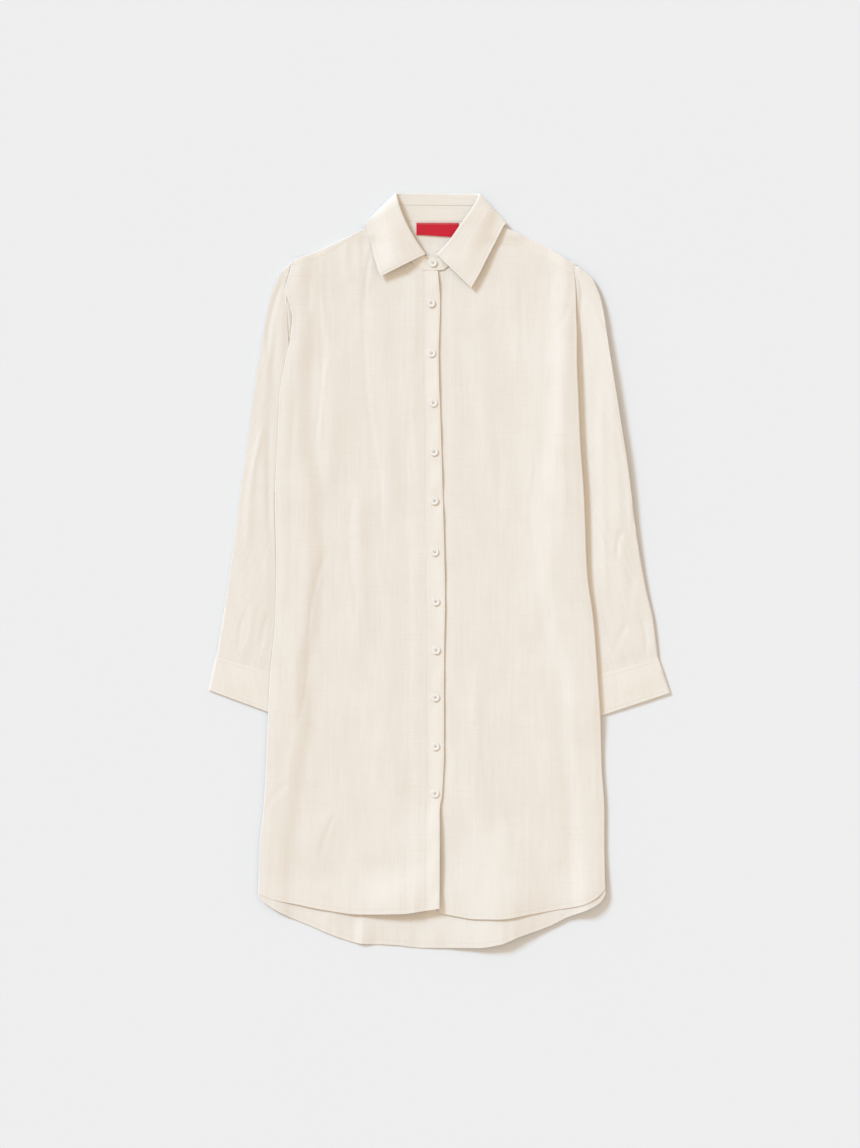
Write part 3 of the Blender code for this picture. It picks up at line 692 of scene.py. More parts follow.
def band_over_height(x, y):
    """The band stands off between its buttons and under the collar, most of all at its edge."""
    from_edge = x - along(OVERLAP, "y", "edge", y)
    between = np.abs(np.sin((y - BUTTONS["y"][0]) / BUTTON_STEP * math.pi)) * smooth((410 - y) / 30)
    lift = 0.25 + 0.55 * between + 0.5 * drift(x * 0, y, 10, 26, 32)
    lift = np.maximum(lift + 1.3 * bell(y, 403, 11), 0) * smooth((from_edge + 19) / 18)
    wave = np.maximum(0.25 * drift(x, y, 12, 22, 31), -0.2)
    return lower(x, y) + 2 * PLY + 0.1 + (lift + wave + overlap_lift(x, y) + hem_lift(x, y))


def make_fronts():
    values = bpy.context.scene.shirt_cloth
    step = values.step / MM
    linen, doubled = linen_material(), linen_material(doubled=True)
    over, over_uv = panel(
        left_at, overlap_line("seam", -0.1), curve_of(FRONT_HEM_LEFT),
        two_curves(YOKE_SEAM_LEFT, tucked(NECKLINE_LEFT), -79), step, step * 2, front_over_height,
        ("left",),
    )
    keep_piece(cloth("front_over_cloth", over, over_uv, linen, values.wall), "front_over")
    under, under_uv = panel(
        overlap_line("edge", -1.4), right_at, curve_of(FRONT_HEM_RIGHT),
        two_curves(tucked(NECKLINE_RIGHT), YOKE_SEAM_RIGHT, 70), step, step * 2,
        lambda x, y: upper(x, y, 17), ("right",),
    )
    keep_piece(cloth("front_under_cloth", under, under_uv, linen, values.wall), "front_under")
    band, band_uv = panel(
        overlap_line("seam"), overlap_line("edge"), curve_of(FRONT_HEM_LEFT), level(419.35), 1.5, 3.0,
        band_over_height,
    )
    keep_piece(cloth("band_over_cloth", band, band_uv, doubled, values.doubled), "band_over")
    below, below_uv = panel(
        overlap_line("seam", 3.0), overlap_line("edge", -1.6), level(-479.0), level(419.0), 3.0, 6.0,
        lambda x, y: lower(x, y) + PLY,
    )
    keep_piece(cloth("band_under_cloth", below, below_uv, doubled, values.doubled), "band_under")


def back_height(x, y):
    """The back, with an upright pleat and soft waves where it shows above its hem."""
    near_hem = smooth((curve_of(BACK_HEM)(x) + 60 - y) / 50)
    pleat = 2.2 * bell(x, -108, 6.5) + 0.8 * bell(x, -98, 3.5)
    waves = 1.1 + drift(x, y, 30, 60, 41) + 0.35 * drift(x, y, 8, 30, 42)
    return lower(x, y) + near_hem * (pleat + 0.8 * waves) * smooth((300 - abs(x)) / 60)


def make_back():
    values = bpy.context.scene.shirt_cloth
    step = values.step / MM
    points, uvs = panel(
        left_at, right_at, curve_of(BACK_HEM), level(YOKE_BACK_SEAM - 0.3), step * 1.5, step * 2,
        back_height,
    )
    keep_piece(cloth("back_cloth", points, uvs, linen_material(), values.wall), "back")


def make_yoke():
    """Flat behind the neck, and over each shoulder to the front seam."""
    left_columns = np.linspace(-204, NECK_LEFT, 70)
    middle = np.linspace(NECK_LEFT + 1, NECK_RIGHT - 1, 60)
    tops = np.concatenate([left_columns, middle, np.linspace(NECK_RIGHT, 188, 66)])
    flat_rows, round_rows, strip_rows = 26, 9, 9
    neck = (tops > NECK_LEFT) & (tops < NECK_RIGHT)
    shoulder = two_curves(SHOULDER_LEFT, SHOULDER_RIGHT, 0)(tops)
    fold_y = np.where(neck, curve_of(BACK_NECK)(tops), shoulder)
    seam_y = two_curves(YOKE_SEAM_LEFT, YOKE_SEAM_RIGHT, 0)(tops)
    inset = np.where(neck, 0.0, SHOULDER_INSET)
    shares = (tops - tops[0]) / (tops[-1] - tops[0])
    low_x = left_at(YOKE_BACK_SEAM) + shares * (right_at(YOKE_BACK_SEAM) - left_at(YOKE_BACK_SEAM))
    rows = []
    for t in np.linspace(0, 1, flat_rows):
        x = low_x + t * (tops - low_x)
        y = YOKE_BACK_SEAM + t * (fold_y - inset - YOKE_BACK_SEAM)
        rows.append(np.column_stack([x, y, lower(x, y)]))
    top_y = fold_y - SHOULDER_INSET
    base, high = lower(tops, top_y), upper(tops, top_y)
    middle_z, radius = (base + high) / 2, (high - base) / 2
    for angle in np.linspace(-math.pi / 2, math.pi / 2, round_rows + 2)[1:-1]:
        y = top_y + SHOULDER_BULGE * math.cos(angle)
        rows.append(np.column_stack([tops, y, middle_z + radius * math.sin(angle)]))
    for t in np.linspace(0, 1, strip_rows):
        y = top_y + t * (seam_y - 0.1 - top_y)
        rows.append(np.column_stack([tops, y, upper(tops, y)]))
    points = np.array(rows)
    length = np.linalg.norm(np.diff(points, axis=0), axis=2)
    v = np.vstack([np.zeros(len(tops)), np.cumsum(length, axis=0)])
    uvs = np.dstack([np.broadcast_to(tops, v.shape), v])

    def keep(row, column):
        """Behind the neck the yoke has only its flat part."""
        wing = column < len(left_columns) - 1 or column >= len(left_columns) + len(middle)
        return row < flat_rows - 1 or wing

    thickness = bpy.context.scene.shirt_cloth.doubled * 0.8
    obj = cloth("yoke_cloth", points, uvs, linen_material(doubled=True), thickness, keep=keep)
    keep_piece(obj, "yoke")


def fold_points(rows, share):
    """The places of a tube's outer and inner fold, at a share of its length."""
    return [
        np.array([float(along(rows, "along", f"{fold}_{axis}", share)) for axis in "xy"])
        for fold in ("outer", "inner")
    ]


def body_edge(right, y):
    """The body's right or left edge."""
    return right_at(y) if right else left_at(y)


def crossing_share(outer, inner, right, share):
    """Where the body's edge crosses a ring, as a share of the ring's width from its inner fold."""
    steps = np.linspace(0, 1, 401)
    line = inner + steps[:, None] * (outer - inner)
    outward = (line[:, 0] - body_edge(right, line[:, 1])) * (1 if right else -1)
    past = 0.3 + 1.7 * float(smooth((share - 0.03) / 0.06)) if right else 0.2
    covered = outward < past
    return float(np.clip(steps[covered].max() if covered.any() else 0, 0.12, 0.985))


def ring_places(crossing, width, hidden, shown):
    """Shares of a ring's width, few under the body and close together at both ends of what shows."""
    near = min(0.7 / width, 0.2 * (1 - crossing))
    return np.concatenate([np.linspace(0.01, crossing, hidden), [crossing + near],
                           np.linspace(crossing + 2 * near, 1 - near, shown - 1), [1.0]])


def ring_heights(tube, share, x, y, places, crossing, width):
    """Heights of the upper and the lower wall of one ring.

    Both follow the distance from the body's edge and not the way along the ring, which runs askew.
    """
    right, cuff = tube["right"], tube["cuff"]
    from_outer = (1 - places) * width
    from_edge = np.maximum((x - body_edge(right, y)) * (1 if right else -1), 0)
    free = np.clip((places - crossing) / (1 - crossing), 0, 1)
    if right:
        open_share = np.clip((from_edge - 6) / 42, 0, 1)
    else:
        open_share = 0.66 * smooth(from_edge / 0.6) + 0.34 * smooth(from_edge / 14)
    strength = float(smooth(((1 - crossing) * width - 4) / 30))
    near_seam = 0.0 if cuff else float(smooth((share - 0.955) / 0.04))

    first, last = tube["puffs"]
    puff = first + (last - first) * float(smooth((share - 0.35) / 0.6))
    bulge = puff * strength * open_share * (1 - (0.0 if right else 0.25) * smooth((free - 0.5) / 0.5))
    # At the shoulder, and on the left side also far down, the sleeve stands up against the body
    if not cuff:
        meets = 1.7 * smooth((0.07 - share) / 0.035) if right else 2.1 * smooth((0.9 - share) / 0.3)
        meets = float(meets) * smooth(from_edge) * smooth((from_outer + 1) / 3.0)
        bulge = np.maximum(bulge, meets)
    joined = float(smooth(share / 0.25)) if cuff else 1 - near_seam
    shape = raised(SLEEVE_CREASES, x, y) * (0.0 if cuff else 1 - near_seam)
    shape = shape + 1.3 * joined * crinkle(x, y, tube["seed"])
    top = FLOOR_PLY + SLEEVE_PLIES + bulge + strength * open_share * np.maximum(shape, -2.0)
    top = top - (0.85 if right else 0.36) * near_seam * strength * open_share

    least, gain = (0.3, 0.25) if cuff else (0.6, 0.8 if right else 0.25)
    low = FLOOR_PLY + (least + gain * puff) * strength * smooth((free - 0.4) / 0.6)
    middle = (top + low) / 2
    rounding = quarter_round(from_outer / 0.9)
    return middle + (top - middle) * rounding, middle - (middle - low) * rounding


def tube_points(tube):
    """Rings of a flattened tube between its outer and inner folds, puffed where it shows."""
    rings, lengths = [], []
    for share in np.linspace(0, 1, tube["rings"]):
        outer, inner = fold_points(tube["rows"], share)
        width = float(np.linalg.norm(outer - inner))
        crossing = crossing_share(outer, inner, tube["right"], share)
        places = ring_places(crossing, width, *tube["points"])
        x, y = (inner[i] + places * (outer[i] - inner[i]) for i in range(2))
        top_z, low_z = ring_heights(tube, share, x, y, places, crossing, width)
        tip = np.array([[*inner, FLOOR_PLY + SLEEVE_PLIES / 2]])
        top = np.column_stack([x, y, top_z])
        low = np.column_stack([x, y, low_z])[::-1][1:]
        rings.append(np.vstack([tip, top, low]))
        lengths.append(np.concatenate([[0], places * width, width + (1 - places[::-1][1:]) * width]))
    if not tube["cuff"]:
        # The sleeve goes on into its cuff
        ahead = rings[-1].mean(axis=0) - rings[-2].mean(axis=0)
        rings.append(rings[-1] + ahead * (INTO_CUFF / np.linalg.norm(ahead)))
        lengths.append(lengths[-1])
    return np.array(rings), np.array(lengths)


def make_tube(node):
    """A sleeve of one ply or a doubled cuff."""
    values = bpy.context.scene.shirt_cloth
    tube = TUBES[node]
    points, across = tube_points(tube)
    v = np.broadcast_to(run_length(points)[:, None], across.shape)
    obj = cloth(f"{node}_cloth", points, np.dstack([across, v]), linen_material(tube["cuff"]),
                values.doubled if tube["cuff"] else values.wall, around=True)
    keep_piece(obj, node)


def run_length(points):
    """The length of a lattice of points up to each of its rows, along its middle."""
    run = np.linalg.norm(np.diff(points.mean(axis=1), axis=0), axis=1)
    return np.concatenate([[0], np.cumsum(run)])


def make_sleeves():
    make_tube("sleeve_left")
    make_tube("sleeve_right")
    make_tube("cuff_left")
    make_tube("cuff_right")


def collar_frame(place):
    """The roll, the neck, the edge, and the way from the stand to the leaf, at a place."""
    roll, neck, edge = (
        np.array([float(along(COLLAR, "row", f"{what}_{axis}", place)) for axis in "xyz"])
        for what in ("roll", "neck", "edge")
    )
    away = roll[:2] - neck[:2]
    away /= np.linalg.norm(away)
    sideways = np.array([-away[1], away[0]])
    if np.dot(sideways, roll[:2] - COLLAR_OPENING) < 0:
        sideways = -sideways
    turn = math.radians(float(along(COLLAR, "row", "turn", place)))
    lean = np.array([*(sideways * math.sin(turn)), math.cos(turn)])
    return roll, neck, edge, np.array([*away, 0.0]), lean


def stand_share(place):
    """The height of the collar seam, as a share of the way from the neck to the roll."""
    return 1 - COLLAR_SEAM_SHARE * float(smooth(min(place, COLLAR_END - place) / 5) * 0.6 + 0.4)


def stand_point(place, height):
    """A point on the stand, at a height from its neck seam (0) to the collar seam (1)."""
    roll, neck, _, _, lean = collar_frame(place)
    return neck + height * stand_share(place) * (roll - lean * ROLL_RADIUS - neck)


def end_strips(first, last, heights, count):
    """Strips across an end of the stand, between two rows of its table."""
    strips = []
    for t in np.linspace(first, last, count):
        mix = {name: np.interp(t, STAND_ENDS["row"], column) for name, column in STAND_ENDS.items()}
        bottom = np.array([mix["bottom_x"], mix["bottom_y"], mix["z"]])
        top = np.array([mix["top_x"], mix["top_y"], mix["z"]])
        strips.append([bottom + h * (top - bottom) for h in heights])
    return strips


def surface_uvs(points):
    """Distances along and across a lattice of points."""
    across = np.linalg.norm(np.diff(points, axis=1), axis=2)
    u = np.hstack([np.zeros((len(points), 1)), np.cumsum(across, axis=1)])
    return np.dstack([u, np.broadcast_to(run_length(points)[:, None], u.shape)])


def collar_section(place):
    """Across the collar, from its seam over the roll to the leaf's edge."""
    roll, neck, edge, away, lean = collar_frame(place)
    low, high = roll - lean * ROLL_RADIUS, roll + lean * ROLL_RADIUS
    seam = stand_point(place, 1.0)
    seam = seam + (low - seam) * 0.015
    section = [seam + t * (low - seam) for t in np.linspace(0, 0.95, SEAM_STEPS)]
    for angle in np.linspace(-80, 80, ROLL_STEPS):
        turn = math.radians(angle)
        section.append(roll + away * 0.6 * ROLL_RADIUS * math.cos(turn)
                       + lean * ROLL_RADIUS * math.sin(turn))
    return section + [high + t * (edge - high) for t in np.linspace(0.04, 1, LEAF_STEPS)]


def leaf_heights(leaf):
    """The leaf is domed and rippled. It rests on the shirt, and its two fronts stand off."""
    x, y, z = (leaf[:, :, i] for i in range(3))
    place = COLLAR_PLACES[:, None]
    out = np.linspace(0, 1, LEAF_STEPS)[None, :]
    dome = 0.9 * np.sin(np.linspace(0, math.pi, LEAF_STEPS))[None, :]
    clear = upper(x, y, 17) + 1.2
    rise = z + dome + 0.35 * drift(x, y, 16, 16, 71)
    resting = smooth((place - 0.4) / 3.0) * smooth((COLLAR_END - 0.4 - place) / 3)
    rise = rise + resting * smooth((out - 0.35) / 0.65) * (clear + 0.2 - rise)
    off = LEAF_LIFT[0] * smooth((4.0 - place) / 4.0) * smooth(out / 0.5)
    off = off + LEAF_LIFT[1] * smooth((place - 13) / 3) * out**1.5
    on_top = z > 4.5
    return np.where(on_top, np.maximum(rise, clear) + off, z)


def make_collar():
    values = bpy.context.scene.shirt_cloth
    doubled = linen_material(doubled=True)
    heights = np.linspace(0, 1, 13)
    strips = end_strips(0, 3, heights, 14)
    strips += [[stand_point(place, h * 0.997) for h in heights] for place in COLLAR_PLACES]
    strips += end_strips(4, 6, heights, 9)
    points = np.array(strips)
    obj = cloth("collar_stand_cloth", points, surface_uvs(points), doubled, values.doubled * 0.9)
    keep_piece(obj, "collar_stand")

    points = np.array([collar_section(place) for place in COLLAR_PLACES])
    leaf = points[:, SEAM_STEPS + ROLL_STEPS:]
    leaf[:, :, 2] = leaf_heights(leaf)
    obj = cloth("collar_fall_cloth", points, surface_uvs(points), doubled, values.doubled)
    keep_piece(obj, "collar_fall")


def make_label():
    """The tape in the back neck, a little slack and narrower at its left end."""
    x, y = np.meshgrid(np.linspace(LABEL["left"], LABEL["right"], 61),
                       np.linspace(LABEL["bottom"], LABEL["top"], 21))
    share = (x - LABEL["left"]) / (LABEL["right"] - LABEL["left"])
    y = LABEL["top"] + (y - LABEL["top"]) * (0.86 + 0.12 * smooth(share * 1.2))
    wave = 0.3 * np.sin((x - LABEL["left"]) / 14) + 0.15 * drift(x, y, 9, 9, 81)
    z = lower(x, y) + PLY + np.maximum(wave, -0.2)
    obj = cloth("label_tape", np.dstack([x, y, z]), np.dstack([x, y]), label_material(),
                LABEL["thickness"] * MM)
    keep_piece(obj, "label")


def keep_piece(obj, node):
    """The piece rides on the shirt, and may stand for a solid, which is then hidden."""
    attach(obj, BODY_NAME)
    if node:
        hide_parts(node)


def button_shape():
    """A small button: a dished face inside a round rim, with four holes, at the origin."""
    bpy.ops.object.select_all(action="DESELECT")
    thickness = BUTTON_THICKNESS * MM
    bpy.ops.mesh.primitive_cylinder_add(vertices=48, radius=BUTTON_RADIUS * MM, depth=thickness,
                                        location=(0, 0, thickness / 2))
    obj = bpy.context.object
    bpy.ops.object.transform_apply(location=True, rotation=False, scale=False)
    bpy.ops.object.mode_set(mode="EDIT")
    bpy.ops.mesh.select_mode(type="FACE")
    bpy.ops.mesh.select_all(action="DESELECT")
    bpy.ops.object.mode_set(mode="OBJECT")
    for face in obj.data.polygons:
        face.select = face.normal.z > 0.9
    bpy.ops.object.mode_set(mode="EDIT")
    bpy.ops.mesh.inset(thickness=RIM_WIDTH * MM)
    bpy.ops.mesh.inset(thickness=DISH_SLOPE * MM)
    bpy.ops.transform.translate(value=(0, 0, -DISH_DEPTH * MM))
    bpy.ops.object.mode_set(mode="OBJECT")
    rim = obj.modifiers.new("Rim", "BEVEL")
    rim.width = RIM_ROUNDING * MM
    rim.segments = 3
    rim.limit_method = "ANGLE"
    rim.angle_limit = math.radians(35)
    bpy.ops.object.modifier_apply(modifier=rim.name)
    for i in range(4):
        angle = math.pi / 4 + i * math.pi / 2
        cut_hole(obj, HOLE_OUT * MM * math.cos(angle), HOLE_OUT * MM * math.sin(angle))
    bpy.ops.object.shade_smooth_by_angle(angle=math.radians(40))
    obj.data.materials.clear()
    obj.data.materials.append(button_material())
    return obj


def cut_hole(obj, x, y):
    """A round hole through the button."""
    bpy.ops.object.select_all(action="DESELECT")
    thickness = BUTTON_THICKNESS * MM
    bpy.ops.mesh.primitive_cylinder_add(vertices=16, radius=HOLE_RADIUS * MM, depth=3 * thickness,
                                        location=(x, y, thickness / 2))
    hole = bpy.context.object
    select_only(obj)
    cut = obj.modifiers.new("Hole", "BOOLEAN")
    cut.operation = "DIFFERENCE"
    cut.object = hole
    bpy.ops.object.modifier_apply(modifier=cut.name)
    bpy.data.objects.remove(hole, do_unlink=True)


def button_thread():
    """Two runs of double thread through the holes, at the origin."""
    runs = []
    for side in (-1, 1):
        for out in (0.95, 1.17):
            bpy.ops.object.select_all(action="DESELECT")
            bpy.ops.mesh.primitive_cylinder_add(
                vertices=8, radius=THREAD_RADIUS * MM, depth=THREAD_LENGTH * MM,
                location=(0, side * out * MM, THREAD_HEIGHT * MM), rotation=(0, math.pi / 2, 0))
            runs.append(bpy.context.object)
    bpy.ops.object.select_all(action="DESELECT")
    for run in runs:
        run.select_set(True)
    bpy.context.view_layer.objects.active = runs[0]
    bpy.ops.object.join()
    obj = bpy.context.object
    bpy.ops.object.transform_apply(location=True, rotation=True, scale=True)
    bpy.ops.object.shade_smooth_by_angle(angle=math.radians(60))
    obj.data.materials.clear()
    obj.data.materials.append(thread_material())
    return obj


def copy_to(source, name, x, y, z, turn):
    """A copy with its own mesh, turned and moved in the mesh and not as an object."""
    mesh = source.data.copy()
    mesh.transform(Matrix.Translation(Vector((x, y, z)) * MM) @ Matrix.Rotation(turn, 4, "Z"))
    return placed(name, mesh)


def make_buttons():
    shape, thread = button_shape(), button_thread()
    places = [
        (f"button_{i + 1:02d}", x, y, turn)
        for i, (x, y, turn) in enumerate(zip(BUTTONS["x"], BUTTONS["y"], BUTTONS["turn"]))
    ]
    places.append(("button_stand", *STAND_BUTTON))
    for node, x, y, turn in places:
        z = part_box(node)[0][2] / MM
        angle = math.radians(turn)
        keep_piece(copy_to(shape, node + "_shell", x, y, z, angle), node)
        keep_piece(copy_to(thread, node + "_thread", x, y, z, angle), None)
    for source in (shape, thread):
        bpy.data.objects.remove(source, do_unlink=True)


def surface_under(objects):
    """A function that gives the height of the cloth below a place, in millimetres."""
    graph = bpy.context.evaluated_depsgraph_get()
    trees = [BVHTree.FromObject(obj, graph) for obj in objects]
    above = 0.08

    def height(x, y):
        hits = [tree.ray_cast(Vector((x * MM, y * MM, above)), Vector((0, 0, -1)))[0] for tree in trees]
        found = [place.z for place in hits if place is not None]
        return max(found) / MM if found else None

    return height


def stitch_lattice(start, end):
    """One stitch: a short thread that comes up, lies on the cloth and goes down again."""
    ahead = (end - start).normalized()
    aside = Vector((-ahead.y, ahead.x, 0)) * STITCH_WIDTH
    upward = Vector((0, 0, STITCH_WIDTH * 0.9))
    points = []
    for share, swell, lift in STITCH_PROFILE:
        middle = start.lerp(end, share) + Vector((0, 0, STITCH_RISE * lift))
        points += [middle - aside * swell, middle + upward * swell, middle + aside * swell,
                   middle - upward * swell]
    return points


def stitch_faces(first):
    """The faces of one stitch whose points start at the given number, with both its ends closed."""
    faces = []
    for ring in range(len(STITCH_PROFILE) - 1):
        start = first + ring * STITCH_SIDES
        for j in range(STITCH_SIDES):
            a, b = start + j, start + (j + 1) % STITCH_SIDES
            faces.append((a, a + STITCH_SIDES, b + STITCH_SIDES, b))
    last = first + (len(STITCH_PROFILE) - 1) * STITCH_SIDES
    return faces + [tuple(range(first, first + STITCH_SIDES)),
                    tuple(range(last + STITCH_SIDES - 1, last - 1, -1))]


def sew(name, lines, cloths, spacing=3.1):
    """Rows of stitches along lines of places, lying on the cloth below them."""
    height = surface_under(cloths)
    points, faces = [], []
    length = bpy.context.scene.shirt_cloth.stitch / MM
    for line in lines:
        line = np.array(line, float)
        reach = np.concatenate([[0], np.cumsum(np.linalg.norm(np.diff(line, axis=0), axis=1))])
        for at in np.arange(0, reach[-1] - length, spacing):
            ends = []
            for where in (at, at + length):
                x, y = (float(np.interp(where, reach, line[:, i])) for i in range(2))
                z = height(x, y)
                ends.append(None if z is None else Vector((x, y, z + 0.02)))
            # No stitch where the cloth ends or steps down
            if None in ends or abs(ends[0].z - ends[1].z) > 1.0:
                continue
            faces += stitch_faces(len(points))
            points += stitch_lattice(*ends)
    obj = mesh_object(name, [tuple(point * MM) for point in points], faces, thread_material())
    tidy_mesh(obj)
    keep_piece(obj, None)


def piece(name):
    """A piece that is made already."""
    return bpy.data.objects[name]


def beside(rows, start, stop, step, above):
    """Places along a curve of a table, at a distance above it."""
    x = np.arange(start, stop, step)
    return np.column_stack([x, curve_of(rows)(x) + above])


def collar_points(column, places):
    """The roll or the edge of the collar, seen from above, at one place or more."""
    return np.column_stack([along(COLLAR, "row", f"{column}_{axis}", places) for axis in "xy"])


def make_stitching():
    """A row of stitches along each band edge, hem, yoke seam, collar edge, cuff and the label."""
    y = np.arange(-468, 414, 4.0)
    sew("stitches_front_band", [
        np.column_stack([overlap_line("seam", 1.6)(y), y]),
        np.column_stack([overlap_line("edge", -2.0)(y), y]),
    ], [piece("band_over_cloth")])
    sew("stitches_front_hem", [
        beside(FRONT_HEM_LEFT, -246, -24, 4.0, 7), beside(FRONT_HEM_RIGHT, 12, 226, 4.0, 7),
    ], [piece("front_over_cloth"), piece("front_under_cloth")])
    sew("stitches_back_hem", [beside(BACK_HEM, -240, 224, 4.0, 7)], [piece("back_cloth")])
    sew("stitches_yoke", [
        beside(YOKE_SEAM_LEFT, -198, -86, 3.0, 2.2), beside(YOKE_SEAM_RIGHT, 78, 180, 3.0, 2.2),
    ], [piece("yoke_cloth")])

    lines = []
    for first, last in LEAVES:
        places = np.linspace(first, last, 60)
        edge = collar_points("edge", places)
        toward = collar_points("roll", places) - edge
        toward /= np.linalg.norm(toward, axis=1)[:, None]
        lines.append(edge + EDGE_TO_STITCH * toward)
        end = 0 if first == 0 else COLLAR_END
        roll, tip = collar_points("roll", end)[0], collar_points("edge", end)[0]
        short = roll + np.linspace(0.04, 0.93, 40)[:, None] * (tip - roll)
        lines.append(short + np.array([0, EDGE_TO_STITCH]))
    sew("stitches_collar", lines, [piece("collar_fall_cloth")])

    for name, rows in (("left", CUFF_LEFT), ("right", CUFF_RIGHT)):
        lines = []
        for share in (0.09, 0.9):
            outer, inner = fold_points(rows, share)
            lines.append([inner + t * (outer - inner) for t in np.linspace(0.08, 0.97, 60)])
        sew(f"stitches_cuff_{name}", lines, [piece(f"cuff_{name}_cloth")])

    inset = 1.6
    top = LABEL["top"] - inset
    sew("stitches_label", [[(LABEL["left"] + inset, top), (LABEL["right"] - inset, top)]],
        [piece("label_tape")])


def make_buttonholes():
    """An upright slit worked round with thread behind each button."""
    half, side, end = (BUTTONHOLE[what] for what in ("half_length", "side", "half_end"))
    lines = []
    for x, y in zip(BUTTONS["x"], BUTTONS["y"]):
        lines += [[(x + out, y - half), (x + out, y + half)] for out in (-side, side)]
        lines += [[(x - end, at), (x + end, at)] for at in (y - half, y + half)]
    sew("stitches_buttonholes", lines, [piece("band_over_cloth")], spacing=2.0)


def node_group(name, inputs, outputs):
    """A new shader group with named inputs and outputs, and the nodes that hold them."""
    group = bpy.data.node_groups.new(name, "ShaderNodeTree")
    for label, kind, default in inputs:
        socket = group.interface.new_socket(name=label, in_out="INPUT", socket_type=kind)
        socket.default_value = default
    for label, kind in outputs:
        group.interface.new_socket(name=label, in_out="OUTPUT", socket_type=kind)
    return group, group.nodes.new("NodeGroupInput"), group.nodes.new("NodeGroupOutput")


def add(tree, kind, **settings):
    """A new node with its settings."""
    node = tree.nodes.new(kind)
    for name, value in settings.items():
        setattr(node, name, value)
    return node


def set_inputs(node, **values):
    """Constants for a node's sockets, whose names have an underscore for each space here."""
    for name, value in values.items():
        node.inputs[name.replace("_", " ")].default_value = value


def noise(tree, vector, detail, roughness, scale=1.0):
    """Smooth uneven values, mostly between 0.3 and 0.7."""
    node = add(tree, "ShaderNodeTexNoise")
    set_inputs(node, Scale=scale, Detail=detail, Roughness=roughness)
    tree.links.new(vector, node.inputs["Vector"])
    return node.outputs["Fac"]


def stretched(tree, vector, x, y, z=1.0):
    """The vector times a number along each axis."""
    node = add(tree, "ShaderNodeVectorMath", operation="MULTIPLY")
    node.inputs[1].default_value = (x, y, z)
    tree.links.new(vector, node.inputs[0])
    return node.outputs[0]


def maths(tree, operation, a, b, clamp=False):
    """One operation on two numbers or sockets."""
    node = add(tree, "ShaderNodeMath", operation=operation, use_clamp=clamp)
    for socket, value in zip(node.inputs, (a, b)):
        if isinstance(value, (int, float)):
            socket.default_value = value
        else:
            tree.links.new(value, socket)
    return node.outputs[0]


def mixed(tree, mask, first, second):
    """The first colour where the mask is 0, and the second where it is 1."""
    mix = add(tree, "ShaderNodeMix", data_type="RGBA")
    set_inputs(mix, A=(*first, 1), B=(*second, 1))
    tree.links.new(mask, mix.inputs["Factor"])
    return mix.outputs["Result"]


def bumped(tree, shader, height, strength, distance):
    """The height raises the surface, by the distance in metres where it is 1."""
    bump = add(tree, "ShaderNodeBump")
    set_inputs(bump, Strength=strength, Distance=distance)
    tree.links.new(height, bump.inputs["Height"])
    tree.links.new(bump.outputs[0], shader.inputs["Normal"])


def tint(colour, factor, extra=0.0):
    """The colour times a factor, with no channel past 1."""
    return tuple(min(channel * factor + extra, 1.0) for channel in colour)


def material_once(name, build):
    """The material of that name, which is built when it is first asked for."""
    if name not in bpy.data.materials:
        material = bpy.data.materials.new(name)
        material.use_nodes = True
        tree = material.node_tree
        build(tree, tree.nodes["Principled BSDF"])
    return bpy.data.materials[name]


def linen_weave_group():
    """Threads both ways with slubs: a height, a mask of thick threads and a mask of thin places."""
    name = "Linen weave"
    if name in bpy.data.node_groups:
        return bpy.data.node_groups[name]
    tree, given, result = node_group(
        name,
        [("Cloth", "NodeSocketVector", (0, 0, 0)), ("Threads a metre", "NodeSocketFloat", THREADS)],
        [("Height", "NodeSocketFloat"), ("Slub", "NodeSocketFloat"), ("Thin", "NodeSocketFloat")],
    )
    place = given.outputs["Cloth"]
    split = add(tree, "ShaderNodeSeparateXYZ")
    tree.links.new(place, split.inputs[0])
    waves = []
    for axis in ("X", "Y"):
        turned = maths(tree, "MULTIPLY", split.outputs[axis], given.outputs["Threads a metre"])
        waves.append(maths(tree, "SINE", maths(tree, "MULTIPLY", turned, 2 * math.pi), 0.0))
    woven = maths(tree, "MULTIPLY", *waves)
    upright = noise(tree, stretched(tree, place, 900, 16), 3.0, 0.6)
    crossing = noise(tree, stretched(tree, place, 14, 900), 3.0, 0.6)
    wide = noise(tree, stretched(tree, place, 240, 12), 2.0, 0.55)
    cloudy = noise(tree, stretched(tree, place, 26, 14), 3.0, 0.6)
    slub = maths(tree, "SUBTRACT", maths(tree, "MAXIMUM", upright, crossing), SLUB_FROM)
    slub = maths(tree, "MULTIPLY", slub, 4.5, clamp=True)
    height = maths(tree, "MULTIPLY", woven, 0.22)
    for threads, share in ((upright, 1.1), (crossing, 1.3), (wide, 0.6)):
        height = maths(tree, "ADD", height, maths(tree, "MULTIPLY", threads, share))
    thin = maths(tree, "ADD", maths(tree, "MULTIPLY", cloudy, 0.6), maths(tree, "MULTIPLY", wide, 0.4),
                 clamp=True)
    for label, value in (("Height", height), ("Slub", slub), ("Thin", thin)):
        tree.links.new(value, result.inputs[label])
    return tree


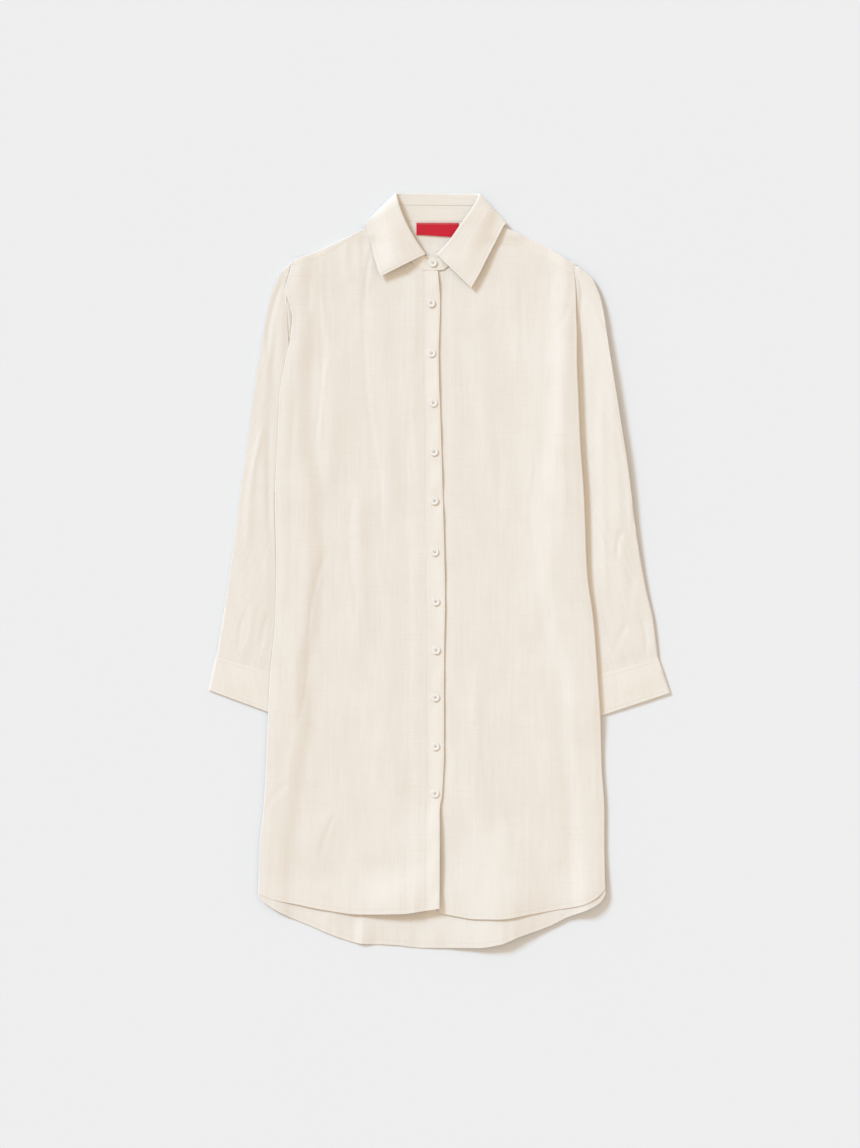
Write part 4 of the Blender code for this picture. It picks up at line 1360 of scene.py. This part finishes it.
def linen_material(doubled=False):
    """Cream linen, a little paler where the cloth is doubled."""
    colours = bpy.context.scene.shirt_colours
    lift = 1.0 + 0.03 * doubled

    def build(tree, shader):
        uv = add(tree, "ShaderNodeUVMap", uv_map="Cloth")
        weave = add(tree, "ShaderNodeGroup", node_tree=linen_weave_group())
        tree.links.new(uv.outputs[0], weave.inputs["Cloth"])
        set_inputs(weave, Threads_a_metre=THREADS)
        slubs = maths(tree, "MULTIPLY", weave.outputs["Slub"], 0.8)
        threads = mixed(tree, slubs, tint(colours.linen, lift), tint(colours.slub, lift))
        ramp = add(tree, "ShaderNodeValToRGB")
        for stop, position, colour in zip(ramp.color_ramp.elements, (0.3, 0.7), THIN_PLACES):
            stop.position = position
            stop.color = (*colour, 1)
        tree.links.new(weave.outputs["Thin"], ramp.inputs[0])
        shade = add(tree, "ShaderNodeMix", data_type="RGBA", blend_type="MULTIPLY")
        set_inputs(shade, Factor=1.0)
        tree.links.new(threads, shade.inputs["A"])
        tree.links.new(ramp.outputs[0], shade.inputs["B"])
        tree.links.new(shade.outputs["Result"], shader.inputs["Base Color"])
        bumped(tree, shader, weave.outputs["Height"], 0.8, 0.00012)
        set_inputs(shader, Roughness=0.88, Specular_IOR_Level=0.25, Sheen_Weight=0.12,
                   Sheen_Roughness=0.5)

    return material_once("Linen_doubled" if doubled else "Linen", build)


def label_material():
    """Red tape with fine ribs."""
    red = bpy.context.scene.shirt_colours.label

    def build(tree, shader):
        uv = add(tree, "ShaderNodeUVMap", uv_map="Cloth")
        ribs = noise(tree, stretched(tree, uv.outputs[0], 300, 3200), 1.0, 0.5)
        colour = mixed(tree, ribs, tint(red, 0.82), tint(red, 1.15, 0.004))
        tree.links.new(colour, shader.inputs["Base Color"])
        bumped(tree, shader, ribs, 0.5, 0.00008)
        set_inputs(shader, Roughness=0.6, Specular_IOR_Level=0.2)

    return material_once("Label_tape", build)


def thread_material():
    """Sewing thread whose shade changes with its twist."""
    thread = bpy.context.scene.shirt_colours.thread

    def build(tree, shader):
        place = add(tree, "ShaderNodeTexCoord").outputs["Object"]
        twist = noise(tree, place, 1.0, 0.5, scale=4200.0)
        tree.links.new(mixed(tree, twist, tint(thread, 0.9), thread), shader.inputs["Base Color"])
        set_inputs(shader, Roughness=0.6)

    return material_once("Thread", build)


def button_material():
    """Cloudy, polished shell."""
    shell = bpy.context.scene.shirt_colours.button

    def build(tree, shader):
        place = add(tree, "ShaderNodeTexCoord").outputs["Object"]
        cloud = noise(tree, stretched(tree, place, 320, 190, 320), 2.0, 0.6)
        colour = mixed(tree, cloud, tint(shell, 0.86), tint(shell, 1.06))
        tree.links.new(colour, shader.inputs["Base Color"])
        set_inputs(shader, Roughness=0.22, Coat_Weight=0.4, Coat_Roughness=0.1)

    return material_once("Button_pearl", build)


def floor_material():
    """A pale, matt floor with hardly any change over it."""
    pale = bpy.context.scene.shirt_stage.floor

    def build(tree, shader):
        place = add(tree, "ShaderNodeTexCoord").outputs["Object"]
        cloud = noise(tree, place, 2.0, 0.5, scale=3.0)
        tree.links.new(mixed(tree, cloud, tint(pale, 0.995), pale), shader.inputs["Base Color"])
        set_inputs(shader, Roughness=0.95, Specular_IOR_Level=0.1)

    return material_once("Floor", build)


def make_floor():
    """A pale floor just below the shirt, on the stage and not part of the shirt."""
    bpy.ops.object.select_all(action="DESELECT")
    bpy.ops.mesh.primitive_plane_add(size=FLOOR_SIZE, location=(0, 0, -FLOOR_BELOW))
    floor = bpy.context.object
    floor.name = "floor"
    floor.data.materials.append(floor_material())


def make_camera(values):
    """It looks straight down from where the photograph's whole height fills the sensor."""
    lens = bpy.data.cameras.new("camera")
    lens.lens = values.lens
    lens.sensor_fit = "VERTICAL"
    lens.sensor_height = SENSOR
    lens.clip_end = 50
    camera = placed("camera", lens)
    camera.location = (
        (PHOTO_WIDTH / 2 - MIDDLE_PIXEL[0]) * PIXEL * MM,
        (MIDDLE_PIXEL[1] - PHOTO_HEIGHT / 2) * PIXEL * MM,
        PHOTO_HEIGHT * PIXEL * MM * values.lens / SENSOR,
    )
    bpy.context.scene.camera = camera


def make_light(values):
    """A soft key light from the upper left, and an even light from all round."""
    key = bpy.data.lights.new("key", "SUN")
    key.angle = values.softness
    key.energy = 1.0
    key.color = values.key
    sun = placed("key", key)
    sun.rotation_euler = (-KEY_FROM).to_track_quat("-Z", "Y").to_euler()
    sun.location = KEY_FROM * 3
    world = bpy.data.worlds.new("studio")
    world.use_nodes = True
    set_inputs(world.node_tree.nodes["Background"], Color=(*values.fill, 1), Strength=1.0)
    bpy.context.scene.world = world
    bpy.context.scene.view_settings.view_transform = "Standard"


def make_stage():
    values = bpy.context.scene.shirt_stage
    make_floor()
    make_camera(values)
    make_light(values)


class SHIRT_OT_body(bpy.types.Operator):
    """Make the back, the yoke and the two fronts with their bands."""

    bl_idname = "shirt.body"
    bl_label = "Body"

    def execute(self, context):
        make_back()
        make_yoke()
        make_fronts()
        return {"FINISHED"}


class SHIRT_OT_sleeves(bpy.types.Operator):
    """Make the sleeves and the cuffs."""

    bl_idname = "shirt.sleeves"
    bl_label = "Sleeves"

    def execute(self, context):
        make_sleeves()
        return {"FINISHED"}


class SHIRT_OT_collar(bpy.types.Operator):
    """Make the collar, its stand and the neck label."""

    bl_idname = "shirt.collar"
    bl_label = "Collar"

    def execute(self, context):
        make_collar()
        make_label()
        return {"FINISHED"}


class SHIRT_OT_buttons(bpy.types.Operator):
    """Make the buttons with their thread."""

    bl_idname = "shirt.buttons"
    bl_label = "Buttons"

    def execute(self, context):
        make_buttons()
        return {"FINISHED"}


class SHIRT_OT_stitching(bpy.types.Operator):
    """Sew the seams, the hems, the edges and the buttonholes."""

    bl_idname = "shirt.stitching"
    bl_label = "Stitching"

    def execute(self, context):
        make_stitching()
        make_buttonholes()
        return {"FINISHED"}


class SHIRT_OT_stage(bpy.types.Operator):
    """Make the floor, the light and the camera."""

    bl_idname = "shirt.stage"
    bl_label = "Stage"

    def execute(self, context):
        make_stage()
        return {"FINISHED"}


class SHIRT_PT_panel(bpy.types.Panel):
    """The shirt's settings, and the operators that make its parts."""

    bl_label = "Long shirt"
    bl_idname = "SHIRT_PT_panel"
    bl_space_type = "VIEW_3D"
    bl_region_type = "UI"
    bl_category = "Long shirt"

    def draw(self, context):
        layout = self.layout
        for group in (context.scene.shirt_cloth, context.scene.shirt_colours, context.scene.shirt_stage):
            box = layout.box()
            for name in group.__annotations__:
                box.prop(group, name)
        for operator in OPERATORS:
            layout.operator(operator.bl_idname)


OPERATORS = (
    SHIRT_OT_body, SHIRT_OT_sleeves, SHIRT_OT_collar, SHIRT_OT_buttons, SHIRT_OT_stitching, SHIRT_OT_stage,
)
CLASSES = (ShirtCloth, ShirtColours, ShirtStage, *OPERATORS, SHIRT_PT_panel)


def register():
    for item in CLASSES:
        bpy.utils.register_class(item)
    bpy.types.Scene.shirt_cloth = PointerProperty(type=ShirtCloth)
    bpy.types.Scene.shirt_colours = PointerProperty(type=ShirtColours)
    bpy.types.Scene.shirt_stage = PointerProperty(type=ShirtStage)


def unregister():
    del bpy.types.Scene.shirt_cloth
    del bpy.types.Scene.shirt_colours
    del bpy.types.Scene.shirt_stage
    for item in reversed(CLASSES):
        bpy.utils.unregister_class(item)


def main():
    register()
    bpy.ops.shirt.body()
    bpy.ops.shirt.sleeves()
    bpy.ops.shirt.collar()
    bpy.ops.shirt.buttons()
    bpy.ops.shirt.stitching()
    bpy.ops.shirt.stage()


if __name__ == "__main__":
    main()
